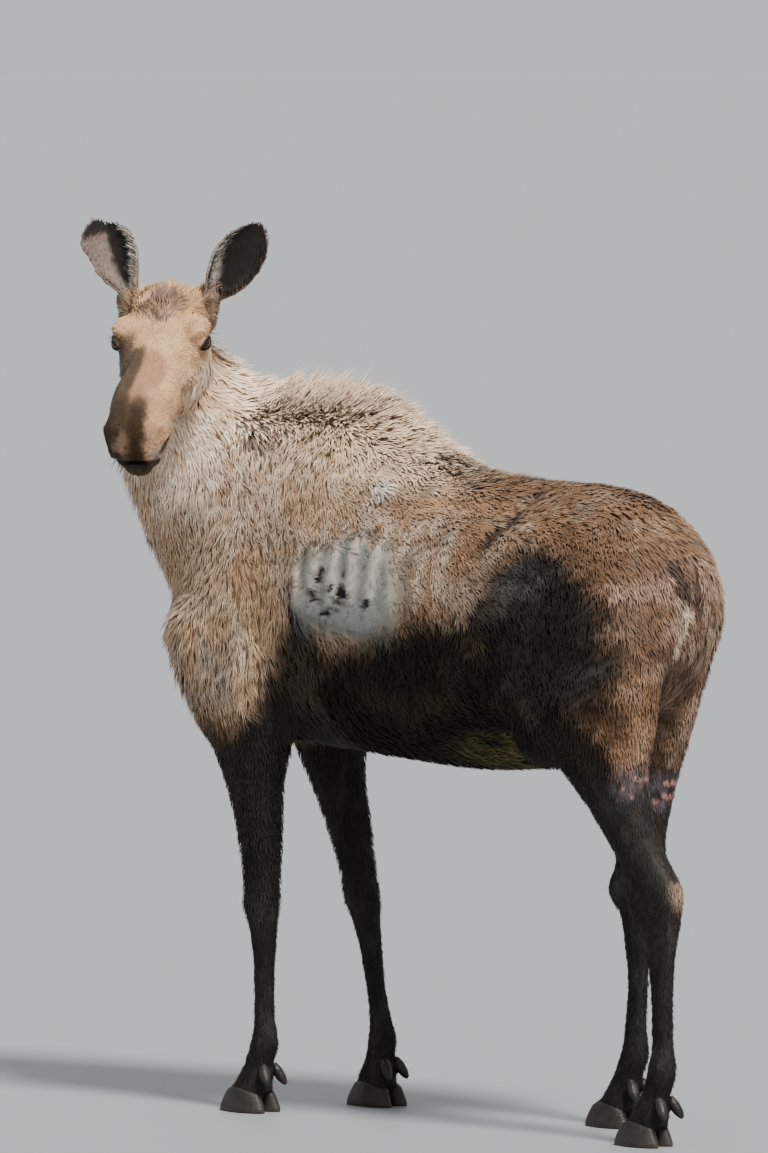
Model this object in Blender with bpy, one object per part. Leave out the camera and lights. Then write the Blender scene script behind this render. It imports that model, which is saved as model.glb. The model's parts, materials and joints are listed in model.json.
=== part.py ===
# A cow moose at life size, standing still and looking back over its left shoulder.
# Every solid reaches to the tips of the coat. Metres, +Z up; the animal faces -Y and its left is +X.
# The body is modelled whole from lofted sections, melted into one surface, then parted with thin cuts.

import math

import bmesh
import bpy
import numpy as np
from mathutils import Matrix, Vector

GAP = 0.0004                # clearance between neighbouring solids
SCRAP_VOLUME = 2e-5         # smaller cut-off bits are dropped
CLAY_VOXEL = 0.0105         # size of the grid that melts the lofts into one surface
CLAY_SMOOTHING = 14
KEPT_SHARE = 0.029          # share of the melted surface's triangles that is kept
THINNING = {"trunk": 0.78, "legs": 0.52, "head": 0.36}   # how readily each region is thinned

WITHERS = 1.875             # top of the mane over the shoulders
CROUP = 1.615               # top of the rump
CHEST_BOTTOM = 0.925
BELLY_BOTTOM = 0.885
CHEST_FRONT = -0.850
RUMP_REAR = 0.800
FORE_TRACK = 0.157          # from the midline to the middle of each foreleg
HIND_TRACK = 0.148

HEAD_LENGTH = 0.62          # poll to tip of nose
POLL = Vector((0.276, -0.683, 2.085))
HEAD_TURN = math.radians(120.5)    # to the left of straight ahead
HEAD_PITCH = math.radians(29.5)   # below the horizon
EYE_RADIUS = 0.0215
EYE_AT = (0.1045, 0.176, -0.056)  # in the head's own axes: left, forward, up
EAR_LENGTH = 0.245
EAR_WIDTH = 0.118
EAR_WALL = 0.009

COAT_COLOUR = (0.30, 0.225, 0.165, 1)
DARK_COLOUR = (0.055, 0.048, 0.045, 1)
FACE_COLOUR = (0.36, 0.25, 0.17, 1)
EAR_COLOUR = (0.12, 0.10, 0.09, 1)
HORN_COLOUR = (0.035, 0.03, 0.028, 1)
EYE_COLOUR = (0.012, 0.008, 0.006, 1)


# ---------------------------------------------------------------- shapes

def smooth_rows(rows, spans):
    """A Catmull-Rom curve through the rows, with this many steps between two of them."""
    rows = np.array(rows, float)
    padded = np.vstack([2 * rows[0] - rows[1], rows, 2 * rows[-1] - rows[-2]])
    out = []
    for i in range(1, len(padded) - 2):
        a, b, c, d = padded[i - 1:i + 3]
        for t in np.linspace(0, 1, spans, endpoint=False):
            out.append(0.5 * (2 * b + (c - a) * t + (2 * a - 5 * b + 4 * c - d) * t * t
                              + (3 * b - a - 3 * c + d) * t ** 3))
    out.append(padded[-2])
    return out


def section(centre, across, upward, half, above, below, top_power=2.0, points=28):
    """One closed ring: a superellipse with its own height above and below the centre."""
    ring = []
    for i in range(points):
        angle = 2 * math.pi * i / points
        c, s = math.cos(angle), math.sin(angle)
        power = 2 / (top_power if s > 0 else 2.15)
        ring.append(Vector(centre) + Vector(across) * (half * math.copysign(abs(c) ** power, c))
                    + Vector(upward) * ((above if s > 0 else below) * math.copysign(abs(s) ** power, s)))
    return ring


def loft(clay, rings):
    """Adds a closed tube through the rings to the clay, with both ends capped."""
    start = len(clay.verts)
    made = [[clay.verts.new(p) for p in ring] for ring in rings]
    for low, high in zip(made, made[1:]):
        for i in range(len(low)):
            j = (i + 1) % len(low)
            clay.faces.new((low[i], low[j], high[j], high[i]))
    caps = [clay.faces.new(made[0]), clay.faces.new(made[-1])]
    bmesh.ops.triangulate(clay, faces=caps)
    clay.verts.ensure_lookup_table()
    added = {f for v in clay.verts[start:] for f in v.link_faces}
    bmesh.ops.recalc_face_normals(clay, faces=list(added))


def blob(clay, centre, radii, turn=None):
    """Adds an ellipsoid, such as a muscle or a bump of bone."""
    matrix = Matrix.Translation(centre) @ (turn or Matrix()) @ Matrix.Diagonal((*radii, 1))
    bmesh.ops.create_icosphere(clay, subdivisions=3, radius=1, matrix=matrix)


def object_from(name, mesh_data, colour, roughness=0.85):
    """A linked object with its own material, from a bmesh or a mesh."""
    if isinstance(mesh_data, bmesh.types.BMesh):
        mesh = bpy.data.meshes.new(name)
        mesh_data.to_mesh(mesh)
        mesh_data.free()
    else:
        mesh = mesh_data
        mesh.name = name
    obj = bpy.data.objects.new(name, mesh)
    bpy.context.scene.collection.objects.link(obj)
    material = bpy.data.materials.new(name)
    material.use_nodes = True
    shader = material.node_tree.nodes["Principled BSDF"]
    shader.inputs["Base Color"].default_value = colour
    shader.inputs["Roughness"].default_value = roughness
    shader.inputs["Metallic"].default_value = 0.0
    mesh.materials.clear()
    mesh.materials.append(material)
    return obj


def evaluated_mesh(obj):
    """The object's mesh with its modifiers applied."""
    graph = bpy.context.evaluated_depsgraph_get()
    return bpy.data.meshes.new_from_object(obj.evaluated_get(graph))


def cut_with(obj, cutters, operation="DIFFERENCE"):
    """Applies one exact Boolean for each cutter, then keeps the cutters out of the model."""
    for cutter in cutters:
        modifier = obj.modifiers.new(cutter.name, "BOOLEAN")
        modifier.operation = operation
        modifier.solver = "EXACT"
        modifier.object = cutter
        cutter.hide_render = True
        cutter.display_type = "WIRE"
    mesh = evaluated_mesh(obj)
    obj.modifiers.clear()
    old = obj.data
    obj.data = mesh
    mesh.name = obj.name
    bpy.data.meshes.remove(old)
    for cutter in cutters:
        bpy.data.objects.remove(cutter)


# ---------------------------------------------------------------- trunk and neck

# y, bottom, top, half width, height of the widest level as a share, power of the upper outline
TRUNK = [
    (CHEST_FRONT, 1.14, 1.34, 0.070, 0.50, 2.0),
    (-0.815, 1.04, 1.45, 0.150, 0.45, 2.0),
    (-0.735, 0.970, 1.60, 0.205, 0.42, 1.9),
    (-0.640, 0.938, 1.76, 0.248, 0.40, 1.7),
    (-0.500, CHEST_BOTTOM, 1.862, 0.268, 0.38, 1.5),
    (-0.380, 0.920, WITHERS, 0.280, 0.38, 1.45),
    (-0.250, 0.912, 1.850, 0.292, 0.40, 1.5),
    (-0.100, 0.900, 1.755, 0.308, 0.42, 1.65),
    (0.050, 0.888, 1.665, 0.322, 0.44, 1.85),
    (0.200, BELLY_BOTTOM, 1.632, 0.322, 0.46, 2.0),
    (0.360, 0.902, 1.622, 0.305, 0.50, 2.0),
    (0.500, 0.955, CROUP, 0.275, 0.55, 1.95),
    (0.620, 1.030, 1.590, 0.235, 0.58, 1.9),
    (0.710, 1.110, 1.530, 0.190, 0.60, 1.9),
    (0.772, 1.200, 1.445, 0.125, 0.60, 2.0),
    (RUMP_REAR, 1.270, 1.375, 0.055, 0.50, 2.0),
]

# crest (x, y, z), throat (x, y, z), half width: the neck bends up and to the left
NECK = [
    (0.000, -0.340, 1.840, 0.000, -0.600, 1.050, 0.235),
    (0.000, -0.480, 1.868, 0.010, -0.820, 1.190, 0.225),
    (0.010, -0.570, 1.868, 0.040, -0.893, 1.330, 0.205),
    (0.035, -0.622, 1.876, 0.085, -0.940, 1.460, 0.185),
    (0.080, -0.650, 1.905, 0.145, -0.948, 1.580, 0.163),
    (0.140, -0.662, 1.962, 0.215, -0.915, 1.680, 0.142),
    (0.205, -0.660, 2.020, 0.295, -0.840, 1.760, 0.120),
    (0.275, -0.645, 2.030, 0.370, -0.770, 1.800, 0.095),
]


def trunk_rings():
    for y, bottom, top, half, share, power in smooth_rows(TRUNK, 4):
        middle = bottom + (top - bottom) * share
        yield section((0, y, middle), (1, 0, 0), (0, 0, 1), half, top - middle, middle - bottom, power)


def neck_rings():
    for row in smooth_rows(NECK, 4):
        crest, throat = Vector(row[:3]), Vector(row[3:6])
        up = (crest - throat) / 2
        along = Vector((0.35, -0.55, 0.75))
        across = along.cross(up).normalized()
        yield section((crest + throat) / 2, across, up.normalized(), row[6], up.length, up.length, 1.7)


# ---------------------------------------------------------------- legs

# z, middle from the midline, front y, rear y, half width
FORE_LEG = [
    (1.620, 0.100, -0.490, -0.300, 0.060),
    (1.450, 0.150, -0.610, -0.310, 0.095),
    (1.280, 0.175, -0.725, -0.350, 0.110),
    (1.140, 0.185, -0.750, -0.375, 0.108),
    (1.020, 0.185, -0.690, -0.370, 0.096),
    (0.930, 0.180, -0.620, -0.380, 0.080),
    (0.840, 0.172, -0.582, -0.405, 0.066),
    (0.720, 0.165, -0.552, -0.413, 0.056),
    (0.600, 0.160, -0.535, -0.425, 0.049),
    (0.530, 0.158, -0.532, -0.430, 0.049),
    (0.460, FORE_TRACK, -0.515, -0.437, 0.039),
    (0.350, FORE_TRACK, -0.506, -0.442, 0.030),
    (0.230, FORE_TRACK, -0.506, -0.440, 0.031),
    (0.170, FORE_TRACK, -0.516, -0.428, 0.039),
    (0.115, FORE_TRACK, -0.540, -0.452, 0.037),
    (0.070, FORE_TRACK, -0.566, -0.455, 0.049),
    (0.000, FORE_TRACK, -0.600, -0.450, 0.052),
]
HIND_LEG = [
    (1.520, 0.090, 0.400, 0.660, 0.085),
    (1.400, 0.125, 0.345, 0.745, 0.112),
    (1.250, 0.145, 0.330, 0.782, 0.118),
    (1.100, 0.160, 0.370, 0.790, 0.110),
    (1.000, 0.168, 0.440, 0.778, 0.098),
    (0.920, 0.170, 0.505, 0.765, 0.085),
    (0.840, 0.165, 0.582, 0.765, 0.070),
    (0.760, 0.158, 0.635, 0.788, 0.059),
    (0.690, 0.153, 0.680, 0.828, 0.051),
    (0.635, 0.150, 0.712, 0.866, 0.046),
    (0.575, 0.148, 0.732, 0.862, 0.042),
    (0.500, HIND_TRACK, 0.748, 0.845, 0.036),
    (0.400, HIND_TRACK, 0.765, 0.836, 0.030),
    (0.250, HIND_TRACK, 0.768, 0.835, 0.030),
    (0.180, HIND_TRACK, 0.757, 0.846, 0.038),
    (0.120, HIND_TRACK, 0.732, 0.820, 0.036),
    (0.070, HIND_TRACK, 0.706, 0.815, 0.047),
    (0.000, HIND_TRACK, 0.675, 0.820, 0.050),
]
# How far back each level of a leg is carried by its stance: heights, then shifts along y
STANCES = {
    "left_fore": ((0, 0.95), (0.0, 0.0)),
    "right_fore": ((0, 0.53, 0.90, 1.15), (0.155, 0.067, -0.040, -0.025)),
    "left_hind": ((0, 1.3), (0.0, 0.0)),
    "right_hind": ((0, 0.62, 0.82, 1.06, 1.3), (-0.330, -0.300, -0.190, -0.132, -0.040)),
}
LEGS = {"left_fore": FORE_LEG, "right_fore": FORE_LEG, "left_hind": HIND_LEG, "right_hind": HIND_LEG}


def leg_side(name):
    return 1 if name.startswith("left") else -1


def stance_shift(name, z):
    return float(np.interp(z, *STANCES[name]))


def leg_rings(name):
    for z, out, front, rear, half in smooth_rows(LEGS[name], 3):
        y = (front + rear) / 2 + stance_shift(name, z)
        yield section((leg_side(name) * out, y, z), (1, 0, 0), (0, -1, 0),
                      half, (rear - front) / 2, (rear - front) / 2)


def leg_bones(clay, name):
    """What swells a leg: shoulder point, upper arm, elbow, knee; stifle, thigh, rump, hock."""
    side = leg_side(name)

    def bump(x, y, z, *radii):
        blob(clay, (side * x, y + stance_shift(name, z), z), radii)

    if name.endswith("fore"):
        bump(0.190, -0.620, 1.220, 0.112, 0.140, 0.130)
        bump(0.215, -0.480, 1.160, 0.085, 0.120, 0.200)
        bump(0.185, -0.405, 1.000, 0.050, 0.045, 0.080)
        bump(0.158, -0.493, 0.535, 0.047, 0.046, 0.055)
    else:
        bump(0.185, 0.460, 1.030, 0.082, 0.095, 0.120)
        bump(0.170, 0.590, 1.300, 0.115, 0.180, 0.210)
        bump(0.110, 0.690, 1.250, 0.085, 0.100, 0.170)
        bump(0.150, 0.745, 0.600, 0.047, 0.045, 0.060)


# ---------------------------------------------------------------- head

def head_axes():
    """The head's own axes as a matrix: x to its left, y from the poll to the nose, z up from the face."""
    level = Vector((math.sin(HEAD_TURN), -math.cos(HEAD_TURN), 0))
    forward = level * math.cos(HEAD_PITCH) - Vector((0, 0, math.sin(HEAD_PITCH)))
    up = level * math.sin(HEAD_PITCH) + Vector((0, 0, math.cos(HEAD_PITCH)))
    left = up.cross(forward)
    matrix = Matrix((left, forward, up)).transposed().to_4x4()
    matrix.translation = POLL
    return matrix


HEAD = head_axes()

# forward, top, bottom, half width, power of the upper outline, each in head lengths from the poll
SKULL = [
    (-0.060, -0.060, -0.280, 0.090, 2.0),
    (0.030, 0.035, -0.330, 0.145, 2.1),
    (0.130, 0.045, -0.360, 0.172, 2.2),
    (0.250, 0.010, -0.360, 0.184, 2.3),
    (0.360, -0.022, -0.330, 0.156, 2.3),
    (0.480, -0.040, -0.290, 0.118, 2.3),
    (0.600, -0.030, -0.250, 0.110, 2.3),
    (0.720, -0.012, -0.255, 0.118, 2.2),
    (0.820, -0.014, -0.275, 0.128, 2.2),
    (0.900, -0.045, -0.305, 0.127, 2.2),
    (0.955, -0.100, -0.300, 0.108, 2.1),
    (0.990, -0.180, -0.260, 0.060, 2.0),
]
JAW = [
    (0.120, -0.120, -0.400, 0.125, 2.0),
    (0.250, -0.130, -0.425, 0.138, 2.0),
    (0.400, -0.130, -0.375, 0.118, 2.0),
    (0.550, -0.140, -0.330, 0.096, 2.0),
    (0.700, -0.170, -0.325, 0.086, 2.0),
    (0.790, -0.200, -0.345, 0.084, 2.0),
    (0.850, -0.220, -0.340, 0.066, 2.0),
    (0.880, -0.260, -0.310, 0.028, 2.0),
]


def head_rings(rows):
    for forward, top, bottom, half, power in smooth_rows(rows, 4):
        middle = bottom + (top - bottom) * 0.52
        ring = section((0, forward, middle), (1, 0, 0), (0, 0, 1), half, top - middle, middle - bottom, power)
        yield [HEAD @ (p * HEAD_LENGTH) for p in ring]


def head_bumps(clay):
    """Brows over the eyes, cheeks, cheekbones, nostril wings and the roots of the ears."""
    for side in (1, -1):
        for x, y, z, *radii in (
            (0.093, 0.156, -0.029, 0.034, 0.046, 0.024),
            (0.097, 0.158, -0.058, 0.029, 0.036, 0.034),
            (0.060, 0.130, -0.150, 0.045, 0.080, 0.080),
            (0.070, 0.235, -0.090, 0.022, 0.070, 0.026),
            (0.050, 0.545, -0.085, 0.034, 0.044, 0.046),
            (0.078, 0.016, -0.042, 0.036, 0.036, 0.046),
        ):
            turn = HEAD.to_3x3().to_4x4()
            blob(clay, HEAD @ Vector((side * x, y, z)), radii, turn)


# ---------------------------------------------------------------- clay to body

def build_clay():
    """All lofts and muscles as overlapping closed shells in one mesh."""
    clay = bmesh.new()
    loft(clay, list(trunk_rings()))
    loft(clay, list(neck_rings()))
    for name in LEGS:
        loft(clay, list(leg_rings(name)))
        leg_bones(clay, name)
    loft(clay, list(head_rings(SKULL)))
    loft(clay, list(head_rings(JAW)))
    head_bumps(clay)
    return clay


def melted_body():
    """The clay as one smooth surface, thinned to few triangles, with more kept on the head."""
    body = object_from("body", build_clay(), COAT_COLOUR)
    melt = body.modifiers.new("melt", "REMESH")
    melt.mode = "VOXEL"
    melt.voxel_size = CLAY_VOXEL
    smooth = body.modifiers.new("smooth", "SMOOTH")
    smooth.factor = 0.5
    smooth.iterations = CLAY_SMOOTHING
    melted = evaluated_mesh(body)
    body.modifiers.clear()
    body.data = melted

    head_middle = HEAD @ Vector((0, 0.30, -0.10))
    group = body.vertex_groups.new(name="thin")
    for vertex in body.data.vertices:
        on_head = (vertex.co - head_middle).length < 0.38
        region = "head" if on_head else "legs" if vertex.co.z < 0.88 else "trunk"
        group.add([vertex.index], THINNING[region], "REPLACE")
    thin = body.modifiers.new("thin", "DECIMATE")
    thin.ratio = KEPT_SHARE
    thin.vertex_group = "thin"
    thin.vertex_group_factor = 1.0
    body.data = evaluated_mesh(body)
    body.modifiers.clear()
    body.vertex_groups.clear()
    return body


# ---------------------------------------------------------------- eyes, ears, tail, claws

def eyeball(side, margin=0.0):
    """A ball that fills its socket; with a margin it is the cutter for the socket."""
    ball = bmesh.new()
    middle = HEAD @ Vector((side * EYE_AT[0], EYE_AT[1], EYE_AT[2]))
    place = Matrix.Translation(middle)
    bmesh.ops.create_icosphere(ball, subdivisions=3, radius=EYE_RADIUS + margin, matrix=place)
    return ball


# The way that each ear points and the way that it opens, in the head's axes: left, forward, up
EARS = {
    "left_ear": (1, (0.567, -0.362, 0.716), (0.36, 0.79, 0.48)),
    "right_ear": (-1, (-0.400, -0.740, 0.530), (-0.05, 0.85, 0.51)),
}
# share of the ear's length, share of its width, how far the edges curl round, in degrees
EAR_SHAPE = [
    (0.00, 0.36, 230),
    (0.14, 0.44, 215),
    (0.30, 0.74, 175),
    (0.46, 0.96, 140),
    (0.60, 1.00, 118),
    (0.74, 0.90, 100),
    (0.87, 0.62, 85),
    (0.96, 0.30, 70),
    (1.00, 0.10, 60),
]


def ear(name):
    """A cupped leaf: at each level a strip curls round the ear's middle, nearly closed at the root."""
    side, axis, opening = EARS[name]
    axes = HEAD.to_3x3()
    along = (axes @ Vector(axis)).normalized()
    towards = axes @ Vector(opening)
    towards = (towards - along * towards.dot(along)).normalized()
    across = along.cross(towards)
    root = HEAD @ Vector((side * 0.088, 0.016, -0.040))
    rings = []
    steps = 8
    for share, width, curl in EAR_SHAPE:
        half_angle = math.radians(curl) / 2
        radius = EAR_WIDTH * width / 2 / math.sin(min(half_angle, math.pi / 2))
        back = root + along * (EAR_LENGTH * share) - towards * (0.012 * share)
        hub = back + towards * radius
        wall = EAR_WALL * (1 - 0.5 * share)
        angles = [half_angle * (2 * i / (steps - 1) - 1) for i in range(steps)]
        outer = [hub + across * (radius * math.sin(a)) - towards * (radius * math.cos(a)) for a in angles]
        shrink = (radius - wall) / radius
        inner = [hub + (point - hub) * shrink for point in reversed(outer)]
        rings.append(outer + inner)
    leaf = bmesh.new()
    loft(leaf, rings)
    return leaf


# y, z, half width, half thickness
TAIL = [
    (0.700, 1.480, 0.040, 0.022),
    (0.765, 1.452, 0.040, 0.024),
    (0.800, 1.418, 0.036, 0.022),
    (0.818, 1.380, 0.029, 0.018),
    (0.822, 1.348, 0.018, 0.012),
    (0.821, 1.330, 0.006, 0.005),
]


def tail():
    """A short flat tail that lies against the rump."""
    flap = bmesh.new()
    rings = []
    for y, z, half, thick in TAIL:
        rings.append(section((0, y, z), (1, 0, 0), (0, 0.9, 0.43), half, thick, thick, points=14))
    loft(flap, rings)
    return flap


# share of the height, share of the length, share of the width, how far the middle stands behind the sole's
CLAW_SHAPE = [
    (0.00, 1.00, 0.96, 0.000),
    (0.22, 0.97, 1.00, 0.006),
    (0.62, 0.84, 0.94, 0.020),
    (1.00, 0.70, 0.84, 0.034),
]
CLAW = {"fore": (0.150, 0.056, 0.074), "hind": (0.140, 0.052, 0.072)}   # length, width, height at the front
CORONET_SLOPE = 0.30        # the claw's top falls this steeply towards the heel
FOOT_FRONT = {"fore": -0.598, "hind": 0.672}     # y of the toes


def claw(foot, outer):
    """One half of a cloven hoof: flat sole, straight inner wall, curved outer wall and pointed toe."""
    kind = foot.split("_")[1]
    length, width, height = CLAW[kind]
    side = leg_side(foot)
    lateral = side if outer else -side
    track = FORE_TRACK if kind == "fore" else HIND_TRACK
    toe = FOOT_FRONT[kind] + stance_shift(foot, 0)
    rings = []
    points = 16
    for share, long, wide, back in CLAW_SHAPE:
        ring = []
        for i in range(points):
            angle = 2 * math.pi * i / points
            forward = math.cos(angle)
            sideways = math.sin(angle)
            taper = 1 - 0.34 * max(forward, 0) ** 2
            x = 0.003 + width / 2 * wide * (1 + sideways * (taper if sideways > 0 else 1.0))
            y = toe + length / 2 + back * length - forward * length / 2 * long
            z = share * (height - CORONET_SLOPE * max(0.0, y - toe - 0.045))
            ring.append(Vector((side * track + lateral * x, y, z)))
        rings.append(ring)
    horn = bmesh.new()
    loft(horn, rings)
    return horn


def foot_cutter(foot):
    """Everything under the coronet, which is where the claws begin."""
    kind = foot.split("_")[1]
    height = CLAW[kind][2]
    toe = FOOT_FRONT[kind] + stance_shift(foot, 0)
    track = FORE_TRACK if kind == "fore" else HIND_TRACK
    block = bmesh.new()
    bmesh.ops.create_cube(block, size=1)
    for vertex in block.verts:
        y = toe + 0.045 + (0.30 if vertex.co.y > 0 else -0.12)
        top = height + GAP - CORONET_SLOPE * (y - toe - 0.045)
        vertex.co = (leg_side(foot) * track + vertex.co.x * 0.22, y, top if vertex.co.z > 0 else -0.1)
    return block


# How far down the dewclaw each level lies, and its half width there
DEWCLAW = ((-0.012, 0.010), (0.006, 0.0155), (0.026, 0.014), (0.040, 0.008), (0.044, 0.003))


def dewclaw(foot, outer):
    """A small blunt claw at the back of the pastern."""
    kind = foot.split("_")[1]
    side = leg_side(foot)
    lateral = side if outer else -side
    track = FORE_TRACK if kind == "fore" else HIND_TRACK
    rear = (-0.456 if kind == "fore" else 0.814) + stance_shift(foot, 0.1)
    rings = []
    for drop, half in DEWCLAW:
        middle = (side * track + lateral * (0.024 + drop * 0.25), rear + drop * 0.55, 0.112 - drop * 0.95)
        rings.append(section(middle, (1, 0, 0), (0, 0.85, 0.5), half, half * 0.9, half * 0.9, points=8))
    horn = bmesh.new()
    loft(horn, rings)
    return horn


# ---------------------------------------------------------------- parting

def thin_cut(name, middle, normal, size):
    """A thin slab, as wide as one limb, that parts the body along a plane."""
    slab = bmesh.new()
    bmesh.ops.create_cube(slab, size=1, matrix=Matrix.Diagonal((size[0], size[1], GAP, 1)))
    up = Vector(normal).normalized()
    across = Vector((0, 1, 0)).cross(up).normalized()
    turn = Matrix((across, up.cross(across), up)).transposed().to_4x4()
    bmesh.ops.transform(slab, matrix=Matrix.Translation(middle) @ turn, verts=slab.verts)
    return object_from(f"cut_{name}", slab, COAT_COLOUR)


# Middle of each cut as distance from the midline, y and z; its normal on the left side; its size
ELBOW_CUT = ((0.190, -0.585, 0.985), (-0.55, 0, 0.83), (0.42, 0.52))
KNEE_CUT = ((0.158, -0.480, 0.535), (0, 0, 1), (0.22, 0.24))
HIP_CUTS = {
    "left_hind": ((0.180, 0.605, 1.075), (-0.5, -0.5, 1), (0.40, 0.60)),
    "right_hind": ((0.180, 0.500, 0.990), (-0.5, -0.5, 1), (0.40, 0.60)),
}
STIFLE_CUT = ((0.170, 0.640, 0.885), (0, -0.35, 1), (0.28, 0.44))
HOCK_CUT = ((0.150, 0.790, 0.560), (0, 0, 1), (0.22, 0.28))


def leg_cut(leg, place, cut, follows_stance=True):
    (out, y, z), (lean, back, rise), size = cut
    side = leg_side(leg)
    shift = stance_shift(leg, z) if follows_stance else 0
    return thin_cut(f"{leg}_{place}", (side * out, y + shift, z), (side * lean, back, rise), size)


def body_cuts():
    """The planes between the trunk, neck, head and the lengths of each leg."""
    cuts = [
        thin_cut("neck", (0, -0.705, 1.570), (0, -0.88, 0.47), (0.80, 0.95)),
        thin_cut("head", HEAD @ Vector((-0.03, 0.05, -0.17)), HEAD.to_3x3() @ Vector((0, 0.75, 0.66)),
                 (0.58, 0.40)),
    ]
    for leg in LEGS:
        if leg.endswith("fore"):
            cuts += [leg_cut(leg, "elbow", ELBOW_CUT, False), leg_cut(leg, "knee", KNEE_CUT)]
        else:
            cuts += [leg_cut(leg, "hip", HIP_CUTS[leg], False), leg_cut(leg, "stifle", STIFLE_CUT),
                     leg_cut(leg, "hock", HOCK_CUT)]
    return cuts


def named_pieces():
    """Roughly where the middle of each flesh node is."""
    places = {
        "trunk": (0, 0, 1.25),
        "neck": (0.10, -0.78, 1.68),
        "head": tuple(HEAD @ Vector((0, 0.28, -0.10))),
    }
    for name in LEGS:
        side = leg_side(name)
        lengths = ({"forearm": (-0.50, 0.78), "cannon": (-0.47, 0.30)} if name.endswith("fore") else
                   {"thigh": (0.60, 1.00), "shank": (0.72, 0.72), "cannon": (0.80, 0.30)})
        for part, (y, z) in lengths.items():
            places[f"{name}_{part}"] = (side * 0.155, y + stance_shift(name, z), z)
    return places


def loose_pieces(mesh):
    """The separate closed bodies of a mesh, each as its own bmesh."""
    whole = bmesh.new()
    whole.from_mesh(mesh)
    whole.verts.ensure_lookup_table()
    whole.faces.ensure_lookup_table()
    owner = [None] * len(whole.verts)
    islands = 0
    for seed in whole.verts:
        if owner[seed.index] is not None:
            continue
        owner[seed.index] = islands
        stack = [seed]
        while stack:
            for edge in stack.pop().link_edges:
                for vertex in edge.verts:
                    if owner[vertex.index] is None:
                        owner[vertex.index] = islands
                        stack.append(vertex)
        islands += 1
    for island in range(islands):
        piece = bmesh.new()
        copies = {v.index: piece.verts.new(v.co) for v in whole.verts if owner[v.index] == island}
        for face in whole.faces:
            if owner[face.verts[0].index] == island:
                piece.faces.new([copies[v.index] for v in face.verts])
        yield piece
    whole.free()


def flesh_colour(name):
    if name == "head":
        return FACE_COLOUR
    return DARK_COLOUR if name.endswith(("cannon", "forearm", "shank")) else COAT_COLOUR


def part_body(body):
    """Cuts the body and names each piece after the place it is nearest to."""
    feet = [object_from(f"foot_{name}", foot_cutter(name), HORN_COLOUR) for name in LEGS]
    sockets = [object_from(f"socket_{side}", eyeball(side, GAP), EYE_COLOUR) for side in (1, -1)]
    cut_with(body, sockets + feet + body_cuts())
    places = named_pieces()
    for piece in loose_pieces(body.data):
        if piece.calc_volume() < SCRAP_VOLUME:
            piece.free()
            continue
        middle = sum((v.co for v in piece.verts), Vector()) / len(piece.verts)
        name = min(places, key=lambda n: (Vector(places[n]) - middle).length)
        piece.normal_update()
        object_from(name, piece, flesh_colour(name))
    bpy.data.objects.remove(body)


def swollen_copy(body):
    """The body grown by the clearance, to trim what is set on it."""
    copy = bpy.data.objects.new("swollen", body.data.copy())
    bpy.context.scene.collection.objects.link(copy)
    grow = copy.modifiers.new("grow", "DISPLACE")
    grow.strength = GAP
    grow.mid_level = 0.0
    copy.data = evaluated_mesh(copy)
    copy.modifiers.clear()
    return copy


def set_on_body(body, name, shape, colour, roughness=0.8):
    """A piece that meets the body face to face: what lies inside the body is cut away."""
    whole = object_from("whole_" + name, shape, colour)
    cut_with(whole, [swollen_copy(body)])
    parts = sorted(loose_pieces(whole.data), key=lambda p: p.calc_volume())
    object_from(name, parts.pop(), colour, roughness)
    for spare in parts:
        spare.free()
    bpy.data.objects.remove(whole)


def stand_at_origin():
    """Hangs every piece on one empty, which brings the middle of the animal's footprint to the origin."""
    pieces = [o for o in bpy.data.objects if o.type == "MESH"]
    corners = np.array([v.co for piece in pieces for v in piece.data.vertices])
    low, high = corners.min(axis=0), corners.max(axis=0)
    moose = bpy.data.objects.new("moose", None)
    bpy.context.scene.collection.objects.link(moose)
    moose.location = (-(low[0] + high[0]) / 2, -(low[1] + high[1]) / 2, -low[2])
    for piece in pieces:
        piece.parent = moose
        piece.data.shade_smooth()
        piece.data.set_sharp_from_angle(angle=math.radians(40))


# ---------------------------------------------------------------- run

for old in list(bpy.data.objects):
    bpy.data.objects.remove(old)

body = melted_body()
for ear_name in EARS:
    set_on_body(body, ear_name, ear(ear_name), EAR_COLOUR)
set_on_body(body, "tail", tail(), COAT_COLOUR)
for leg in LEGS:
    for place, is_outer in (("outer", True), ("inner", False)):
        object_from(f"{leg}_claw_{place}", claw(leg, is_outer), HORN_COLOUR, 0.5)
        set_on_body(body, f"{leg}_dewclaw_{place}", dewclaw(leg, is_outer), HORN_COLOUR, 0.5)
for side_name, eye_side in (("left_eye", 1), ("right_eye", -1)):
    object_from(side_name, eyeball(eye_side), EYE_COLOUR, 0.08)
part_body(body)
stand_at_origin()
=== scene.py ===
import json
import math

import bmesh
import bpy
import numpy as np
from mathutils import Matrix, Vector
from mathutils.bvhtree import BVHTree

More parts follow.
